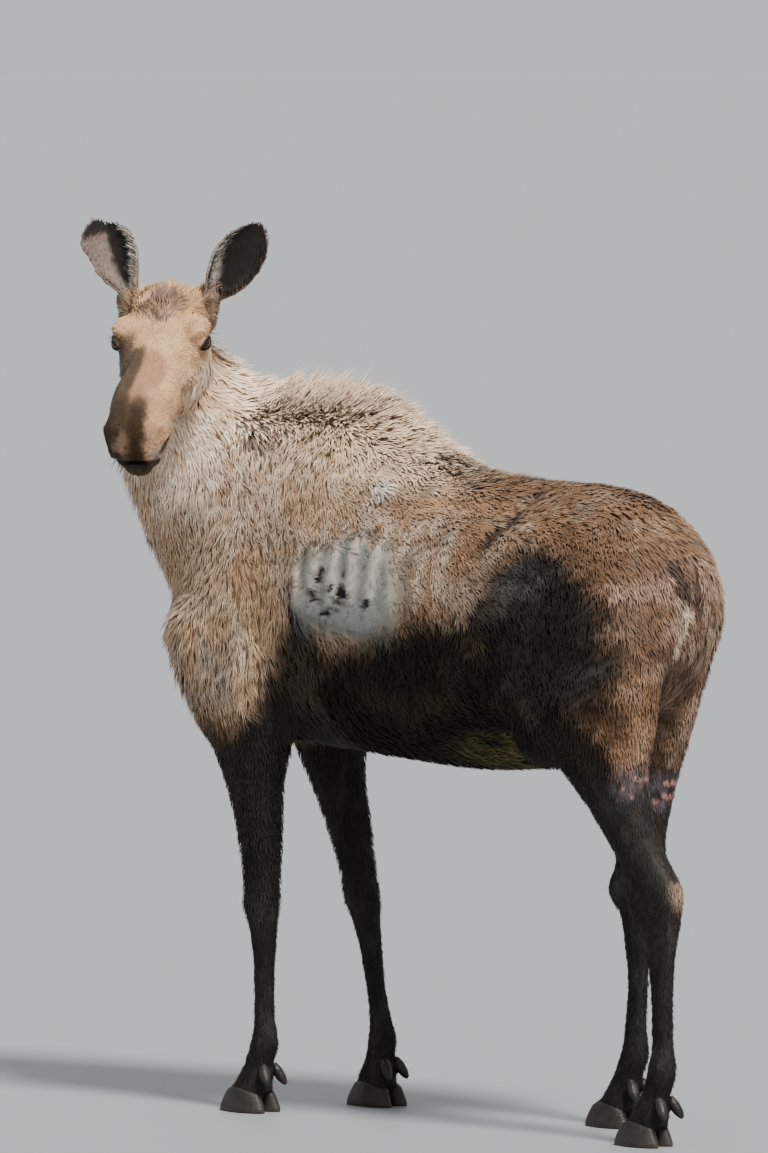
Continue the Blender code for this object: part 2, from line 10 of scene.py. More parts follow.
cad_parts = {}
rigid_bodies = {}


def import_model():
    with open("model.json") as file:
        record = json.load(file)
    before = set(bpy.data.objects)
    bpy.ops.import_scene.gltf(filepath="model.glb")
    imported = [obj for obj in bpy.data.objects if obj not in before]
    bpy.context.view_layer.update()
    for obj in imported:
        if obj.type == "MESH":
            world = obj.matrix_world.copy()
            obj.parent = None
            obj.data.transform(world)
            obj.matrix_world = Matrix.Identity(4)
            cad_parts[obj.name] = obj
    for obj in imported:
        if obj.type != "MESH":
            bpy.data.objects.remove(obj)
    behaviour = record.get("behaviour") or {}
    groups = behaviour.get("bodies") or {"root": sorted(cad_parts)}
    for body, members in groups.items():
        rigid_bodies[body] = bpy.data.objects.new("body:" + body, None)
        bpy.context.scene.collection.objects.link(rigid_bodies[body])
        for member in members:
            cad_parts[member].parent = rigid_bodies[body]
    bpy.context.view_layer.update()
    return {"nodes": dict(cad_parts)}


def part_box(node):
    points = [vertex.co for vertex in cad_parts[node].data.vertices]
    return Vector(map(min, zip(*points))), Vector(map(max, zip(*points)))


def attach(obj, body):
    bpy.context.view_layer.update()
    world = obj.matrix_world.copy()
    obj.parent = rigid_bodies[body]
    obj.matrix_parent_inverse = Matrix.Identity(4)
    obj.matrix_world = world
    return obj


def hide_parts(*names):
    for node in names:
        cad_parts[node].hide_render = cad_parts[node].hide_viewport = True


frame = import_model()
print("frame loaded:", len(frame["nodes"]), "solids")


# The animal's own axes: it faces -Y, its left is +X, x = 0 is its midline and z = 0 the ground.
def middleOf(node):
    low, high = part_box(node)
    return (low + high) / 2


toeReach = 0.598        # how far the left forefoot's toes stand ahead of the animal's own origin
midline = (middleOf("left_fore_cannon").x + middleOf("right_fore_cannon").x) / 2
ownOrigin = np.array((midline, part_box("left_fore_claw_outer")[0].y + toeReach, 0.0))

# The head's axes, from the eyes: x to the head's left, y from the poll to the nose, z up from the face.
headFacts = {
    "pitch": math.radians(29.5),    # the nose points this far below the horizon
    "eyeForward": 0.176,            # from the poll to the eyes
    "eyeDown": 0.056,
    "eyeRadius": 0.0215,
}
leftEye, rightEye = middleOf("left_eye"), middleOf("right_eye")
headLeft = (leftEye - rightEye).normalized()
headLevel = Vector((headLeft.y, -headLeft.x, 0))
headForward = headLevel * math.cos(headFacts["pitch"]) - Vector((0, 0, math.sin(headFacts["pitch"])))
headUp = headForward.cross(headLeft)
poll = (leftEye + rightEye) / 2 - headForward * headFacts["eyeForward"] + headUp * headFacts["eyeDown"]
headAxes = np.array([headLeft, headForward, headUp])


def ownPlaces(points):
    return np.asarray(points) - ownOrigin


def headPlaces(points):
    return (np.asarray(points) - np.array(poll)) @ headAxes.T


def fromHead(place):
    return np.asarray(place) @ headAxes + np.array(poll)


# Small tools for fields over the skin

def ease(low, high, value):
    t = np.clip((value - low) / (high - low), 0, 1)
    return t * t * (3 - 2 * t)


def blot(points, centre, radii):
    # 1 at the centre, fading smoothly to 0 on an ellipsoid
    away = (((points - np.array(centre)) / np.array(radii)) ** 2).sum(1)
    return np.clip(1 - away, 0, 1) ** 1.5


def awayFrom(points, path):
    # distance to a line through a few places, and how far along it the nearest place is, from 0 to 1
    path = np.array(path, float)
    best = np.full(len(points), 1e9)
    share = np.zeros(len(points))
    for i, (a, b) in enumerate(zip(path, path[1:])):
        run = b - a
        t = np.clip((points - a) @ run / (run @ run), 0, 1)
        gap = np.linalg.norm(points - (a + t[:, None] * run), axis=1)
        nearer = gap < best
        best = np.where(nearer, gap, best)
        share = np.where(nearer, (i + t) / (len(path) - 1), share)
    return best, share


def cloud(points, size, seed):
    # soft random hills between -1 and 1, this far apart
    cell = np.asarray(points) / size + 31.7 * seed
    base = np.floor(cell)
    part = cell - base
    part = part * part * (3 - 2 * part)
    total = np.zeros(len(cell))
    for corner in range(8):
        step = np.array((corner & 1, corner >> 1 & 1, corner >> 2 & 1))
        scrambled = np.sin((base + step) @ np.array((127.1, 311.7, 74.7))) * 43758.5453
        weight = np.prod(np.where(step, part, 1 - part), axis=1)
        total += (2 * (scrambled - np.floor(scrambled)) - 1) * weight
    return total


def folded(points):
    # both sides laid on the left side
    both = points.copy()
    both[:, 0] = np.abs(both[:, 0])
    return both


def pulled(items, name, width=1, kind=np.float32):
    # one value, or a row of them, for each vertex, edge, corner or face
    values = np.zeros(len(items) * width, kind)
    items.foreach_get(name, values)
    return values.reshape(-1, width) if width > 1 else values


def meshPlaces(mesh):
    return pulled(mesh.vertices, "co", 3).astype(float)


def meshNormals(mesh):
    return pulled(mesh.vertex_normals, "vector", 3).astype(float)


def setPlaces(mesh, places):
    mesh.vertices.foreach_set("co", places.astype(np.float32).ravel())
    mesh.update()


def spreadOut(mesh, values, rounds):
    # each vertex takes on the mean of its neighbours, again and again
    a, b = pulled(mesh.edges, "vertices", 2, np.int32).T
    count = len(mesh.vertices)
    joins = np.maximum(np.bincount(a, minlength=count) + np.bincount(b, minlength=count), 1)
    values = values.astype(float).copy()
    for _ in range(rounds):
        for column in range(values.shape[1]):
            one = values[:, column]
            total = np.bincount(a, one[b], count) + np.bincount(b, one[a], count)
            values[:, column] = 0.4 * one + 0.6 * total / joins
    return values


def sceneObject(name, data):
    obj = bpy.data.objects.new(name, data)
    bpy.context.scene.collection.objects.link(obj)
    return obj


def meshOf(name, shape):
    mesh = bpy.data.meshes.new(name)
    shape.to_mesh(mesh)
    shape.free()
    return mesh


def shadeSmooth(mesh):
    mesh.polygons.foreach_set("use_smooth", np.ones(len(mesh.polygons), bool))


def treeOf(mesh):
    return BVHTree.FromPolygons([v.co for v in mesh.vertices], [list(f.vertices) for f in mesh.polygons])


def shaped(obj):
    # the object's mesh with its modifiers applied, and the modifiers taken off
    graph = bpy.context.evaluated_depsgraph_get()
    mesh = bpy.data.meshes.new_from_object(obj.evaluated_get(graph))
    obj.modifiers.clear()
    old = obj.data
    obj.data = mesh
    bpy.data.meshes.remove(old)
    return mesh


def addRod(shape, start, end, startRadius, endRadius):
    # a row of balls that the melt turns into one soft rod
    for share in np.linspace(0, 1, 9):
        middle = Matrix.Translation(Vector(start) * (1 - share) + Vector(end) * share)
        radius = startRadius * (1 - share) + endRadius * share
        bmesh.ops.create_icosphere(shape, subdivisions=3, radius=radius, matrix=middle)


def solidsJoined(name, nodes, swell, rods=()):
    # merged copies of these solids, swollen a little so that the thin cuts between them close
    shape = bmesh.new()
    for node in nodes:
        shape.from_mesh(frame["nodes"][node].data)
    bmesh.ops.remove_doubles(shape, verts=shape.verts, dist=0.00002)
    shape.normal_update()
    for vert in shape.verts:
        vert.co += vert.normal * swell
    for rod in rods:
        addRod(shape, *rod)
    return sceneObject(name, meshOf(name, shape))


# The bare skin

skinFacts = {
    "voxel": 0.0055,        # the solids are melted into one surface on this grid
    "bodySmoothing": 40,
    "headSmoothing": 12,
    "keptShare": 0.168,     # of the melted surface's triangles; the head keeps all of its own
    "earVoxel": 0.0030,
    "earSmoothing": 6,
}
earNodes = ["left_ear", "right_ear"]
eyeNodes = ["left_eye", "right_eye"]
clawNodes = [n for n in sorted(frame["nodes"]) if "claw" in n]
earRoot = {             # the thick fleshy foot of each ear, behind the temple, in the head's axes
    "left": ((0.104, 0.018, -0.020), (0.100, 0.050, -0.078)),
    "right": ((0.112, 0.014, -0.030), (0.108, 0.050, -0.076)),
    "radii": (0.027, 0.022),
}
fleshNodes = [n for n in sorted(frame["nodes"]) if n not in earNodes + eyeNodes and "claw" not in n]


def melted(name, nodes, voxel, smoothing, swell=0.0006, rods=()):
    obj = solidsJoined(name, nodes, swell, rods)
    melt = obj.modifiers.new("melt", "REMESH")
    melt.mode = "VOXEL"
    melt.voxel_size = voxel
    shaped(obj)
    before = BVHTree.FromObject(obj, bpy.context.evaluated_depsgraph_get())
    smooth = obj.modifiers.new("smooth", "SMOOTH")
    smooth.factor = 0.5
    smooth.iterations = smoothing
    return obj, before


def keepGirth(obj, before):
    # smoothing thins the legs and the tail, so the surface goes back out to where it was, softly
    mesh = shaped(obj)
    places, normals = meshPlaces(mesh), meshNormals(mesh)
    lost = np.zeros((len(places), 1))
    for i, (place, normal) in enumerate(zip(places, normals)):
        nearest = before.find_nearest(Vector(place))[0]
        lost[i] = (np.array(nearest) - place) @ normal
    lost = spreadOut(mesh, np.clip(lost, -0.003, 0.03), 10)
    setPlaces(mesh, places + normals * lost)


def meltBody():
    rods = [(fromHead((side * a[0], a[1], a[2])), fromHead((side * b[0], b[1], b[2])), *earRoot["radii"])
            for side, a, b in ((1, *earRoot["left"]), (-1, *earRoot["right"]))]
    nodes = fleshNodes + eyeNodes + clawNodes
    body, before = melted("skin", nodes, skinFacts["voxel"], skinFacts["headSmoothing"], rods=rods)
    shaped(body)
    local = headPlaces(meshPlaces(body.data))
    alongHead = local[:, 1] + 0.35 * (local[:, 2] + 0.12)
    fromAxis = np.hypot(local[:, 0], local[:, 2] + 0.1)
    isHead = ease(-0.02, 0.05, alongHead) * ease(0.30, 0.22, fromAxis)
    group = body.vertex_groups.new(name="body")
    levels = np.round((1 - isHead) * 8) / 8
    for level in np.unique(levels):
        group.add(np.flatnonzero(levels == level).tolist(), float(level), "REPLACE")
    smooth = body.modifiers.new("smooth", "SMOOTH")
    smooth.factor = 0.5
    smooth.iterations = skinFacts["bodySmoothing"]
    smooth.vertex_group = "body"
    thin = body.modifiers.new("thin", "DECIMATE")
    thin.ratio = skinFacts["keptShare"]
    thin.vertex_group = "body"
    thin.vertex_group_factor = 1.0
    keepGirth(body, before)
    body.vertex_groups.clear()
    return body


def fineFaces(obj, wanted):
    # halves the edges of the faces round these vertices, for small forms and markings
    shape = bmesh.new()
    shape.from_mesh(obj.data)
    edges = {e for f in shape.faces if any(wanted[v.index] for v in f.verts) for e in f.edges}
    bmesh.ops.subdivide_edges(shape, edges=list(edges), cuts=1, use_grid_fill=True)
    bmesh.ops.triangulate(shape, faces=[f for f in shape.faces if len(f.verts) > 4])
    shape.to_mesh(obj.data)
    shape.free()


def nearMarkings(own, reach):
    # the vertices near the creases and the tail's hollow
    near = awayFrom(folded(own), flankFold)[0] < reach
    for line in (tailHollow, creamLine):
        near |= awayFrom(own, line)[0] < reach
    return near


def refineSkin(obj):
    local = folded(headPlaces(meshPlaces(obj.data)))
    wanted = blot(local, (0.100, 0.185, -0.060), (0.055, 0.060, 0.055)) > 0         # round the eyes
    wanted |= blot(local, (0.055, 0.560, -0.120), (0.080, 0.090, 0.110)) > 0        # nostrils, lips and chin
    wanted |= blot(local, (0.060, 0.420, -0.170), (0.050, 0.140, 0.050)) > 0        # corner of the mouth
    own = ownPlaces(meshPlaces(obj.data))
    fineFaces(obj, wanted | nearMarkings(own, 0.04))
    for margin in (1.30, 1.15):
        own = ownPlaces(meshPlaces(obj.data))
        away = [(own[:, i + 1] - rubbedPatch["middle"][i]) / rubbedPatch["half"][i] for i in (0, 1)]
        wanted = (np.hypot(*away) < margin) & (own[:, 0] > 0.05)
        for side, along, height, _ in sores:
            gap = np.hypot(own[:, 1] - along, own[:, 2] - height)
            wanted |= (gap < 0.03 * margin) & (own[:, 0] * side > 0)
        fineFaces(obj, wanted | nearMarkings(own, 0.018 * margin))


# Lines that the coat follows, in the animal's own axes
crestLine = [
    (0.0, 0.12, 1.64), (0.0, -0.10, 1.755), (0.0, -0.25, 1.85), (0.0, -0.38, 1.875), (0.0, -0.50, 1.862),
    (0.02, -0.59, 1.868), (0.08, -0.645, 1.90), (0.14, -0.66, 1.96), (0.205, -0.66, 2.02),
]
maneHeights = (0.020, 0.050, 0.085, 0.108, 0.118, 0.112, 0.070, 0.030, 0.018)    # along the crest
throatLine = [
    (0.0, -0.70, 1.10), (0.01, -0.82, 1.19), (0.04, -0.893, 1.33), (0.085, -0.94, 1.46),
    (0.145, -0.948, 1.58), (0.215, -0.915, 1.68), (0.295, -0.84, 1.76),
]
# the crease ahead of each thigh, a painted sunlit band below it, and the fold of the neck
flankFold = [(0.13, 0.36, 1.575), (0.18, 0.355, 1.533), (0.21, 0.33, 1.502), (0.25, 0.275, 1.440)]
flankLitBand = [
    (0.17, 0.37, 1.540), (0.215, 0.352, 1.492), (0.245, 0.33, 1.445),
    (0.275, 0.303, 1.385), (0.295, 0.272, 1.30),
]
neckFold = [(0.13, -0.565, 1.720), (0.13, -0.525, 1.703), (0.12, -0.48, 1.712), (0.115, -0.45, 1.728)]
# the shade beside the tail, and the pale hair under it
tailHollow = [(0.075, 0.755, 1.440), (0.055, 0.770, 1.395), (0.035, 0.785, 1.345)]
creamLine = [(0.036, 0.785, 1.320), (0.046, 0.780, 1.280), (0.060, 0.766, 1.235)]
rubbedPatch = {"middle": (-0.098, 1.343), "half": (0.200, 0.126)}   # moulted bare on the left side: y and z
darkEdge = {            # the dark underside, dark hair with painted shade, lies below this height ...
    "along": (-0.49, -0.442, -0.385, -0.320, -0.292, -0.25, -0.20, -0.05,
              0.11, 0.235, 0.295, 0.343, 0.40, 0.45, 0.47, 0.56),
    "height": (0.98, 1.042, 1.15, 1.262, 1.335, 1.275, 1.225, 1.208,
               1.266, 1.305, 1.337, 1.393, 1.47, 1.55, 1.58, 1.56),
}
thighEdge = {           # ... and, on the thigh, ahead of this place
    "height": (0.80, 0.87, 0.936, 1.003, 1.058, 1.114, 1.183,
               1.252, 1.308, 1.356, 1.393, 1.438, 1.488, 1.53),
    "along": (1.00, 0.84, 0.735, 0.700, 0.685, 0.690, 0.705,
              0.710, 0.706, 0.681, 0.625, 0.533, 0.442, 0.40),
}
sores = [               # small raw spots behind each hind leg's shank: side, y, z and reach
    (1, 0.741, 0.938, 0.007), (1, 0.757, 0.903, 0.006), (1, 0.731, 0.882, 0.006), (1, 0.747, 0.862, 0.005),
    (-1, 0.578, 0.866, 0.006), (-1, 0.572, 0.833, 0.005), (-1, 0.560, 0.822, 0.005),
]


skin = meltBody()
refineSkin(skin)
print("skin melted:", len(skin.data.polygons), "faces")


# Which solid each place of the skin belongs to, and soft shares of the main regions

def solidTree():
    places, faces, owners = [], [], []
    for number, node in enumerate(fleshNodes + earNodes + clawNodes):
        mesh = frame["nodes"][node].data
        start = len(places)
        places.extend(v.co.copy() for v in mesh.vertices)
        for face in mesh.polygons:
            faces.append([start + i for i in face.vertices])
            owners.append(number)
    return BVHTree.FromPolygons(places, faces), owners


def nearestSolid(mesh):
    tree, owners = solidTree()
    return np.array([owners[tree.find_nearest(v.co)[2]] for v in mesh.vertices])


regionNames = ["head", "ear", "neck", "trunk", "tail", "upperLeg", "lowerLeg"]


def regionOf(node):
    if "ear" in node.split("_"):
        return "ear"
    if "cannon" in node or "shank" in node or "claw" in node:
        return "lowerLeg"
    if "forearm" in node or "thigh" in node:
        return "upperLeg"
    return node


def regionShares(mesh, owner):
    labels = np.array([regionNames.index(regionOf(n)) for n in fleshNodes + earNodes + clawNodes])[owner]
    hard = np.eye(len(regionNames))[labels]
    soft = spreadOut(mesh, hard, 14)
    shares = {name: soft[:, i] for i, name in enumerate(regionNames)}
    isHorn = (owner >= len(fleshNodes + earNodes)).astype(float)
    shares["horn"] = spreadOut(mesh, isHorn[:, None], 2)[:, 0]
    return shares


def maneShare(own, normals):
    crest, _ = awayFrom(own, crestLine)
    return np.exp(-(crest / 0.15) ** 2) * ease(-0.1, 0.75, normals[:, 2])


def maneHeight(own, normals):
    _, along = awayFrom(own, crestLine)
    height = np.interp(along * (len(crestLine) - 1), range(len(crestLine)), maneHeights)
    return maneShare(own, normals) * height


def fringeShare(own):
    throat, _ = awayFrom(own, throatLine)
    return np.exp(-(throat / 0.11) ** 2)


def patchShare(own):
    middle, half = rubbedPatch["middle"], rubbedPatch["half"]
    along = (own[:, 1] - middle[0]) / half[0]
    up = (own[:, 2] - middle[1]) / half[1]
    streaky = cloud(own * np.array((1, 2.6, 0.6)), 0.03, 4)
    ragged = np.abs(along) ** 2.6 + np.abs(up) ** 2.6 + 0.25 * cloud(own, 0.05, 3)
    ragged += (0.30 + 0.45 * ease(0, 1, up)) * streaky
    soft = 0.40 + 0.40 * ease(0.3, 1.0, np.maximum(np.abs(up), along))
    return ease(1.0 + soft, 1.0 - soft, ragged) * (own[:, 0] > 0.05)


def tuftShare(own):
    # one loose tuft of shed winter hair on the back
    return blot(own[:, 1:], (-0.099, 1.608), (0.026, 0.032)) * (own[:, 0] > 0)


def jawShare(local):
    # the long hair at the back of each cheek and jaw
    back = ease(0.36, 0.20, local[:, 1] - 0.6 * (local[:, 2] + 0.13))
    return back * ease(-0.080, -0.130, local[:, 2]) * ease(0.03, 0.06, np.abs(local[:, 0]))


def crestRun(own):
    # the way along the crest, from the head to the withers, at each place
    path = np.array(crestLine[::-1])
    _, share = awayFrom(own, path)
    runs = np.diff(path, axis=0)
    runs /= np.linalg.norm(runs, axis=1)[:, None]
    at = share * (len(path) - 1) - 0.5
    return np.stack([np.interp(at, np.arange(len(runs)), runs[:, i]) for i in range(3)], 1)


def grooveDepth(own):
    # creases in the skin: ahead of the thighs, and where the neck folds under the mane
    flank, along = awayFrom(folded(own), flankFold)
    bend, _ = awayFrom(own, neckFold)
    return 0.014 * ease(0.030, 0.0, flank) * ease(1.0, 0.7, along) + 0.014 * ease(0.034, 0.0, bend)


def coatDepths(own, head, share):
    # the depth of the hair everywhere, without the mane that stands on the crest
    front = ease(-0.05, -0.45, own[:, 1])
    low = ease(1.15, 0.95, own[:, 2])
    trunk = 0.015 + 0.010 * front - 0.003 * low
    crown = 0.006 * blot(head, (0, 0.06, 0.0), (0.12, 0.11, 0.10))
    face = 0.0025 + crown + 0.003 * ease(0.25, 0.0, head[:, 1])
    depth = (share["head"] * face + share["ear"] * 0.0012 + share["neck"] * 0.026
             + share["trunk"] * trunk + share["tail"] * 0.010 + share["upperLeg"] * 0.009
             + share["lowerLeg"] * 0.0035 + share["horn"] * 0.006)
    depth += (share["neck"] + share["trunk"]) * 0.020 * fringeShare(own)
    return depth * (1 - 0.75 * patchShare(own))


def sinkSkin(mesh, share):
    # the skin lies under the solids' surface by the depth of the coat, and lower still under the mane
    places, normals = meshPlaces(mesh), meshNormals(mesh)
    even = spreadOut(mesh, normals, 10)
    even /= np.linalg.norm(even, axis=1)[:, None]
    own = ownPlaces(places)
    body = share["neck"] + share["trunk"]
    mane = body * maneShare(own, even)
    sink = 0.5 * body * maneHeight(own, even)
    places -= even * coatDepths(own, headPlaces(places), share)[:, None]
    places[:, 2] -= sink
    places -= even * grooveDepth(own)[:, None]
    shaggy = np.clip(share["neck"] + mane, 0, 1)[:, None]
    calm = spreadOut(mesh, places, 12)
    setPlaces(mesh, places * (1 - shaggy) + calm * shaggy)


sinkSkin(skin.data, regionShares(skin.data, nearestSolid(skin.data)))
print("skin laid under the coat")


# The head's forms. Places are in the head's axes, for its left side, and are mirrored to its right.
headForms = [
    {"what": "brow", "at": (0.100, 0.165, -0.020), "reach": (0.042, 0.058, 0.024), "rise": 0.008},
    {"what": "temple", "at": (0.085, 0.100, -0.030), "reach": (0.040, 0.036, 0.034), "rise": -0.006},
    {"what": "tear groove", "at": (0.094, 0.224, -0.098), "reach": (0.030, 0.014, 0.036), "rise": -0.007},
    {"what": "cheekbone", "at": (0.088, 0.270, -0.104), "reach": (0.040, 0.100, 0.020), "rise": 0.006},
    {"what": "jaw muscle", "at": (0.085, 0.130, -0.180), "reach": (0.040, 0.090, 0.080), "rise": 0.006},
    {"what": "cheek", "at": (0.065, 0.350, -0.140), "reach": (0.040, 0.090, 0.030), "rise": -0.005},
    {"what": "nose side", "at": (0.052, 0.410, -0.080), "reach": (0.055, 0.125, 0.070), "rise": 0.016},
    {"what": "arch of the nose", "at": (0.0, 0.330, -0.035), "reach": (0.060, 0.090, 0.050), "rise": 0.005},
    {"what": "dip under the eyes", "at": (0.0, 0.235, 0.0), "reach": (0.060, 0.040, 0.050), "rise": -0.004},
    {"what": "nostril wing", "at": (0.080, 0.535, -0.095), "reach": (0.035, 0.055, 0.038), "rise": 0.006},
    {"what": "upper lip", "at": (0.045, 0.570, -0.122), "reach": (0.060, 0.060, 0.026), "rise": 0.002},
    {"what": "chin", "at": (0.0, 0.565, -0.190), "reach": (0.044, 0.070, 0.036), "rise": 0.016},
    {"what": "lip corner", "at": (0.050, 0.560, -0.160), "reach": (0.040, 0.050, 0.030), "rise": -0.003},
    {"what": "dip of the nose", "at": (0.0, 0.605, -0.120), "reach": (0.016, 0.04, 0.05), "rise": -0.003},
    {"what": "forehead", "at": (0.0, 0.105, 0.020), "reach": (0.075, 0.075, 0.040), "rise": 0.006},
]
nostril = {
    "line": [(0.068, 0.592, -0.126), (0.078, 0.570, -0.106), (0.084, 0.540, -0.092), (0.084, 0.508, -0.086)],
    "width": 0.0090,
    "depth": 0.017,
}
mouth = {
    "line": [(0.0, 0.602, -0.144), (0.020, 0.594, -0.146), (0.042, 0.572, -0.154), (0.058, 0.530, -0.169),
             (0.062, 0.430, -0.166), (0.060, 0.350, -0.154)],
    "width": 0.0070,
    "depth": 0.0045,
    "frontDepth": 0.016,        # more, where the lips part at the front
}


def sculptHead(mesh, share):
    places, normals = meshPlaces(mesh), meshNormals(mesh)
    local = folded(headPlaces(places))
    rise = np.zeros(len(places))
    for form in headForms:
        rise += form["rise"] * blot(local, form["at"], form["reach"])
    away, along = awayFrom(local, nostrilLine)
    width = nostril["width"] * (1 - 0.45 * along)
    rise -= nostril["depth"] * (1 - 0.5 * along) * ease(1.0, 0.25, away / width)
    rise += 0.0035 * ease(0.8, 1.3, away / width) * ease(2.2, 1.3, away / width)
    line = np.array(mouth["line"])
    level = np.interp(local[:, 1], line[::-1, 1], line[::-1, 2])
    gap = np.abs(local[:, 2] - level)
    inMouth = ease(0.335, 0.365, local[:, 1])
    inFront = ease(0.034, 0.016, local[:, 0]) * ease(0.54, 0.56, local[:, 1])
    parted = mouth["depth"] + mouth["frontDepth"] * inFront
    rise -= inMouth * parted * ease(1.0, 0.0, gap / mouth["width"])
    rise += inMouth * 0.0012 * ease(0.8, 1.4, gap / mouth["width"]) * ease(2.6, 1.4, gap / mouth["width"])
    setPlaces(mesh, places + normals * (rise * ease(0.3, 0.7, share["head"]))[:, None])


# The eyes look sideways and a little forward; the opening is an almond, longest to its front corner
eyeFacts = {
    "gaze": (0.930, 0.340, 0.080),
    "long": (0.0, 0.930, -0.360),
    "front": 65, "rear": 50, "top": 31, "bottom": 28,      # the opening's half angles, in degrees
    "lidReach": 82,         # how far off the gaze the lids reach
    # degrees beyond the opening, and height over the ball, of each ring of the lids
    "lidRings": [(-0.5, 0.0002), (-2.0, 0.0014), (0.0, 0.0028), (4.0, 0.0034),
                 (9.0, 0.0030), (13.0, 0.0024), (18, 0.0040)],
    "lidBlends": [0.3, 0.6, 0.85, 1.0],     # and of the rings from there to the skin
}


def eyeAxes(side):
    mirror = np.array((side, 1, 1))
    gaze = np.array(eyeFacts["gaze"]) * mirror @ headAxes
    gaze /= np.linalg.norm(gaze)
    long = np.array(eyeFacts["long"]) * mirror @ headAxes
    long -= gaze * (long @ gaze)
    long /= np.linalg.norm(long)
    high = np.cross(gaze, long)
    high *= np.sign(high @ np.array(headUp))
    centre = np.array(leftEye if side > 0 else rightEye)
    return centre, gaze, long, high


def openingAt(turn):
    # half angle of the eye's opening, in degrees, at this turn round the gaze (0 is the front corner)
    c, s = np.cos(turn), np.sin(turn)
    long = np.where(c > 0, eyeFacts["front"], eyeFacts["rear"])
    short = np.where(s > 0, eyeFacts["top"], eyeFacts["bottom"])
    return 1 / np.sqrt((c / long) ** 2 + (s / short) ** 2)


def eyePolar(points, side):
    # distance from the eye's centre, angle off the gaze, and turn round it
    centre, gaze, long, high = eyeAxes(side)
    out = points - centre
    distance = np.linalg.norm(out, axis=1)
    off = np.degrees(np.arccos(np.clip(out @ gaze / np.maximum(distance, 1e-9), -1, 1)))
    return distance, off, np.arctan2(out @ high, out @ long)


def clearEyes(mesh):
    # the skin sinks behind each eye where the lids are open, and covers the eyeball round them
    places = meshPlaces(mesh)
    for side in (1, -1):
        centre = eyeAxes(side)[0]
        distance, off, turn = eyePolar(places, side)
        near = distance < 0.045
        wanted = headFacts["eyeRadius"] * np.array((0.72, 1.06))[:, None] / np.maximum(distance, 1e-6)
        sink = near * ease(openingAt(turn) + 9, openingAt(turn) + 2, off)
        cover = near * ease(openingAt(turn) + 8, openingAt(turn) + 15, off) * ease(150, 120, off)
        factor = 1 - sink * (1 - np.minimum(wanted[0], 1)) + cover * (np.maximum(wanted[1], 1) - 1)
        places = centre + (places - centre) * factor[:, None]
    setPlaces(mesh, places)


def addLids(shape, skinMesh):
    # each lid is a shell round the ball: a rolled rim, a fold above it, and rings that meet the skin
    tree = treeOf(skinMesh)
    radius, steps = headFacts["eyeRadius"], 56
    rings, blends = eyeFacts["lidRings"], eyeFacts["lidBlends"]
    for side in (1, -1):
        centre, gaze, long, high = eyeAxes(side)
        made = []
        for row in range(len(rings) + len(blends)):
            ring = []
            for step in range(steps):
                turn = 2 * math.pi * step / steps
                opening = float(openingAt(turn))
                extra, height = rings[min(row, len(rings) - 1)]
                if math.sin(turn) < 0 and extra > 6:
                    height *= 0.8       # the lower lid's fold is flatter
                off, reach = opening + extra, radius + height
                sideways = long * math.cos(turn) + high * math.sin(turn)
                if row >= len(rings):
                    k = blends[row - len(rings)]
                    off = off + (eyeFacts["lidReach"] - off) * k
                way = gaze * math.cos(math.radians(off)) + sideways * math.sin(math.radians(off))
                if row >= len(rings):
                    hit = tree.ray_cast(Vector(centre + way * 0.006), Vector(way))
                    skinReach = 0.006 + (hit[3] if hit[0] is not None else radius)
                    k = k * k * (3 - 2 * k)
                    reach = reach + (max(skinReach - 0.0012, radius * 0.8) - reach) * k
                ring.append(shape.verts.new(centre + way * reach))
            made.append(ring)
        for low, upper in zip(made, made[1:]):
            for step in range(steps):
                after = (step + 1) % steps
                face = [low[step], low[after], upper[after], upper[step]]
                shape.faces.new(face if side > 0 else face[::-1])


def joinSkin(body, ears):
    shape = bmesh.new()
    shape.from_mesh(body.data)
    shape.from_mesh(ears.data)
    addLids(shape, body.data)
    shape.to_mesh(body.data)
    shape.free()
    bpy.data.objects.remove(ears)


earFacts = {
    "root": (0.088, 0.016, -0.040),
    "length": 0.245,
    "widening": 0.12,
    "left": {"axis": (0.567, -0.362, 0.716), "opening": (0.36, 0.79, 0.48), "tipWidening": 0.15},
    "right": {"axis": (-0.400, -0.740, 0.530), "opening": (-0.05, 0.85, 0.51), "tipWidening": 0.75},
}


def earHalf(along):
    return np.interp(along, (0, 0.14, 0.30, 0.46, 0.60, 0.74, 0.87, 0.96, 1.0),
                     (0.021, 0.026, 0.044, 0.057, 0.059, 0.053, 0.037, 0.018, 0.006))


def earPlaces(local, normals, side):
    # how far along this ear, how far across it, 1 inside its cup, and how far to its outer side
    facts = earFacts["left" if side > 0 else "right"]
    axis = np.array(facts["axis"]) / np.linalg.norm(facts["axis"])
    opening = np.array(facts["opening"])
    opening = opening - axis * (opening @ axis)
    opening /= np.linalg.norm(opening)
    across = np.cross(axis, opening)
    out = local - np.array(earFacts["root"]) * np.array((side, 1, 1))
    along = out @ axis / earFacts["length"]
    half = earHalf(along)
    headNormals = normals @ headAxes.T
    flat = out - axis * (out @ axis)[:, None]
    hub = flat - opening * half[:, None]
    inwards = -(headNormals * hub).sum(1) / np.maximum(np.linalg.norm(hub, axis=1), 1e-6)
    return along, (out @ across) / half, ease(-0.15, 0.25, inwards), side * flat[:, 0] / half, axis, across


def nearestOnSkin(places):
    tree = BVHTree.FromObject(skin, bpy.context.evaluated_depsgraph_get())
    return np.array([tree.find_nearest(Vector(at))[0] for at in places])


def onHead(line):
    # a line of the head moved onto the skin, in the head's axes
    return folded(headPlaces(nearestOnSkin([fromHead(at) for at in line])))


def onBody(line):
    # a line of the body moved onto the skin, in the animal's own axes
    return ownPlaces(nearestOnSkin([np.array(at) + ownOrigin for at in line]))


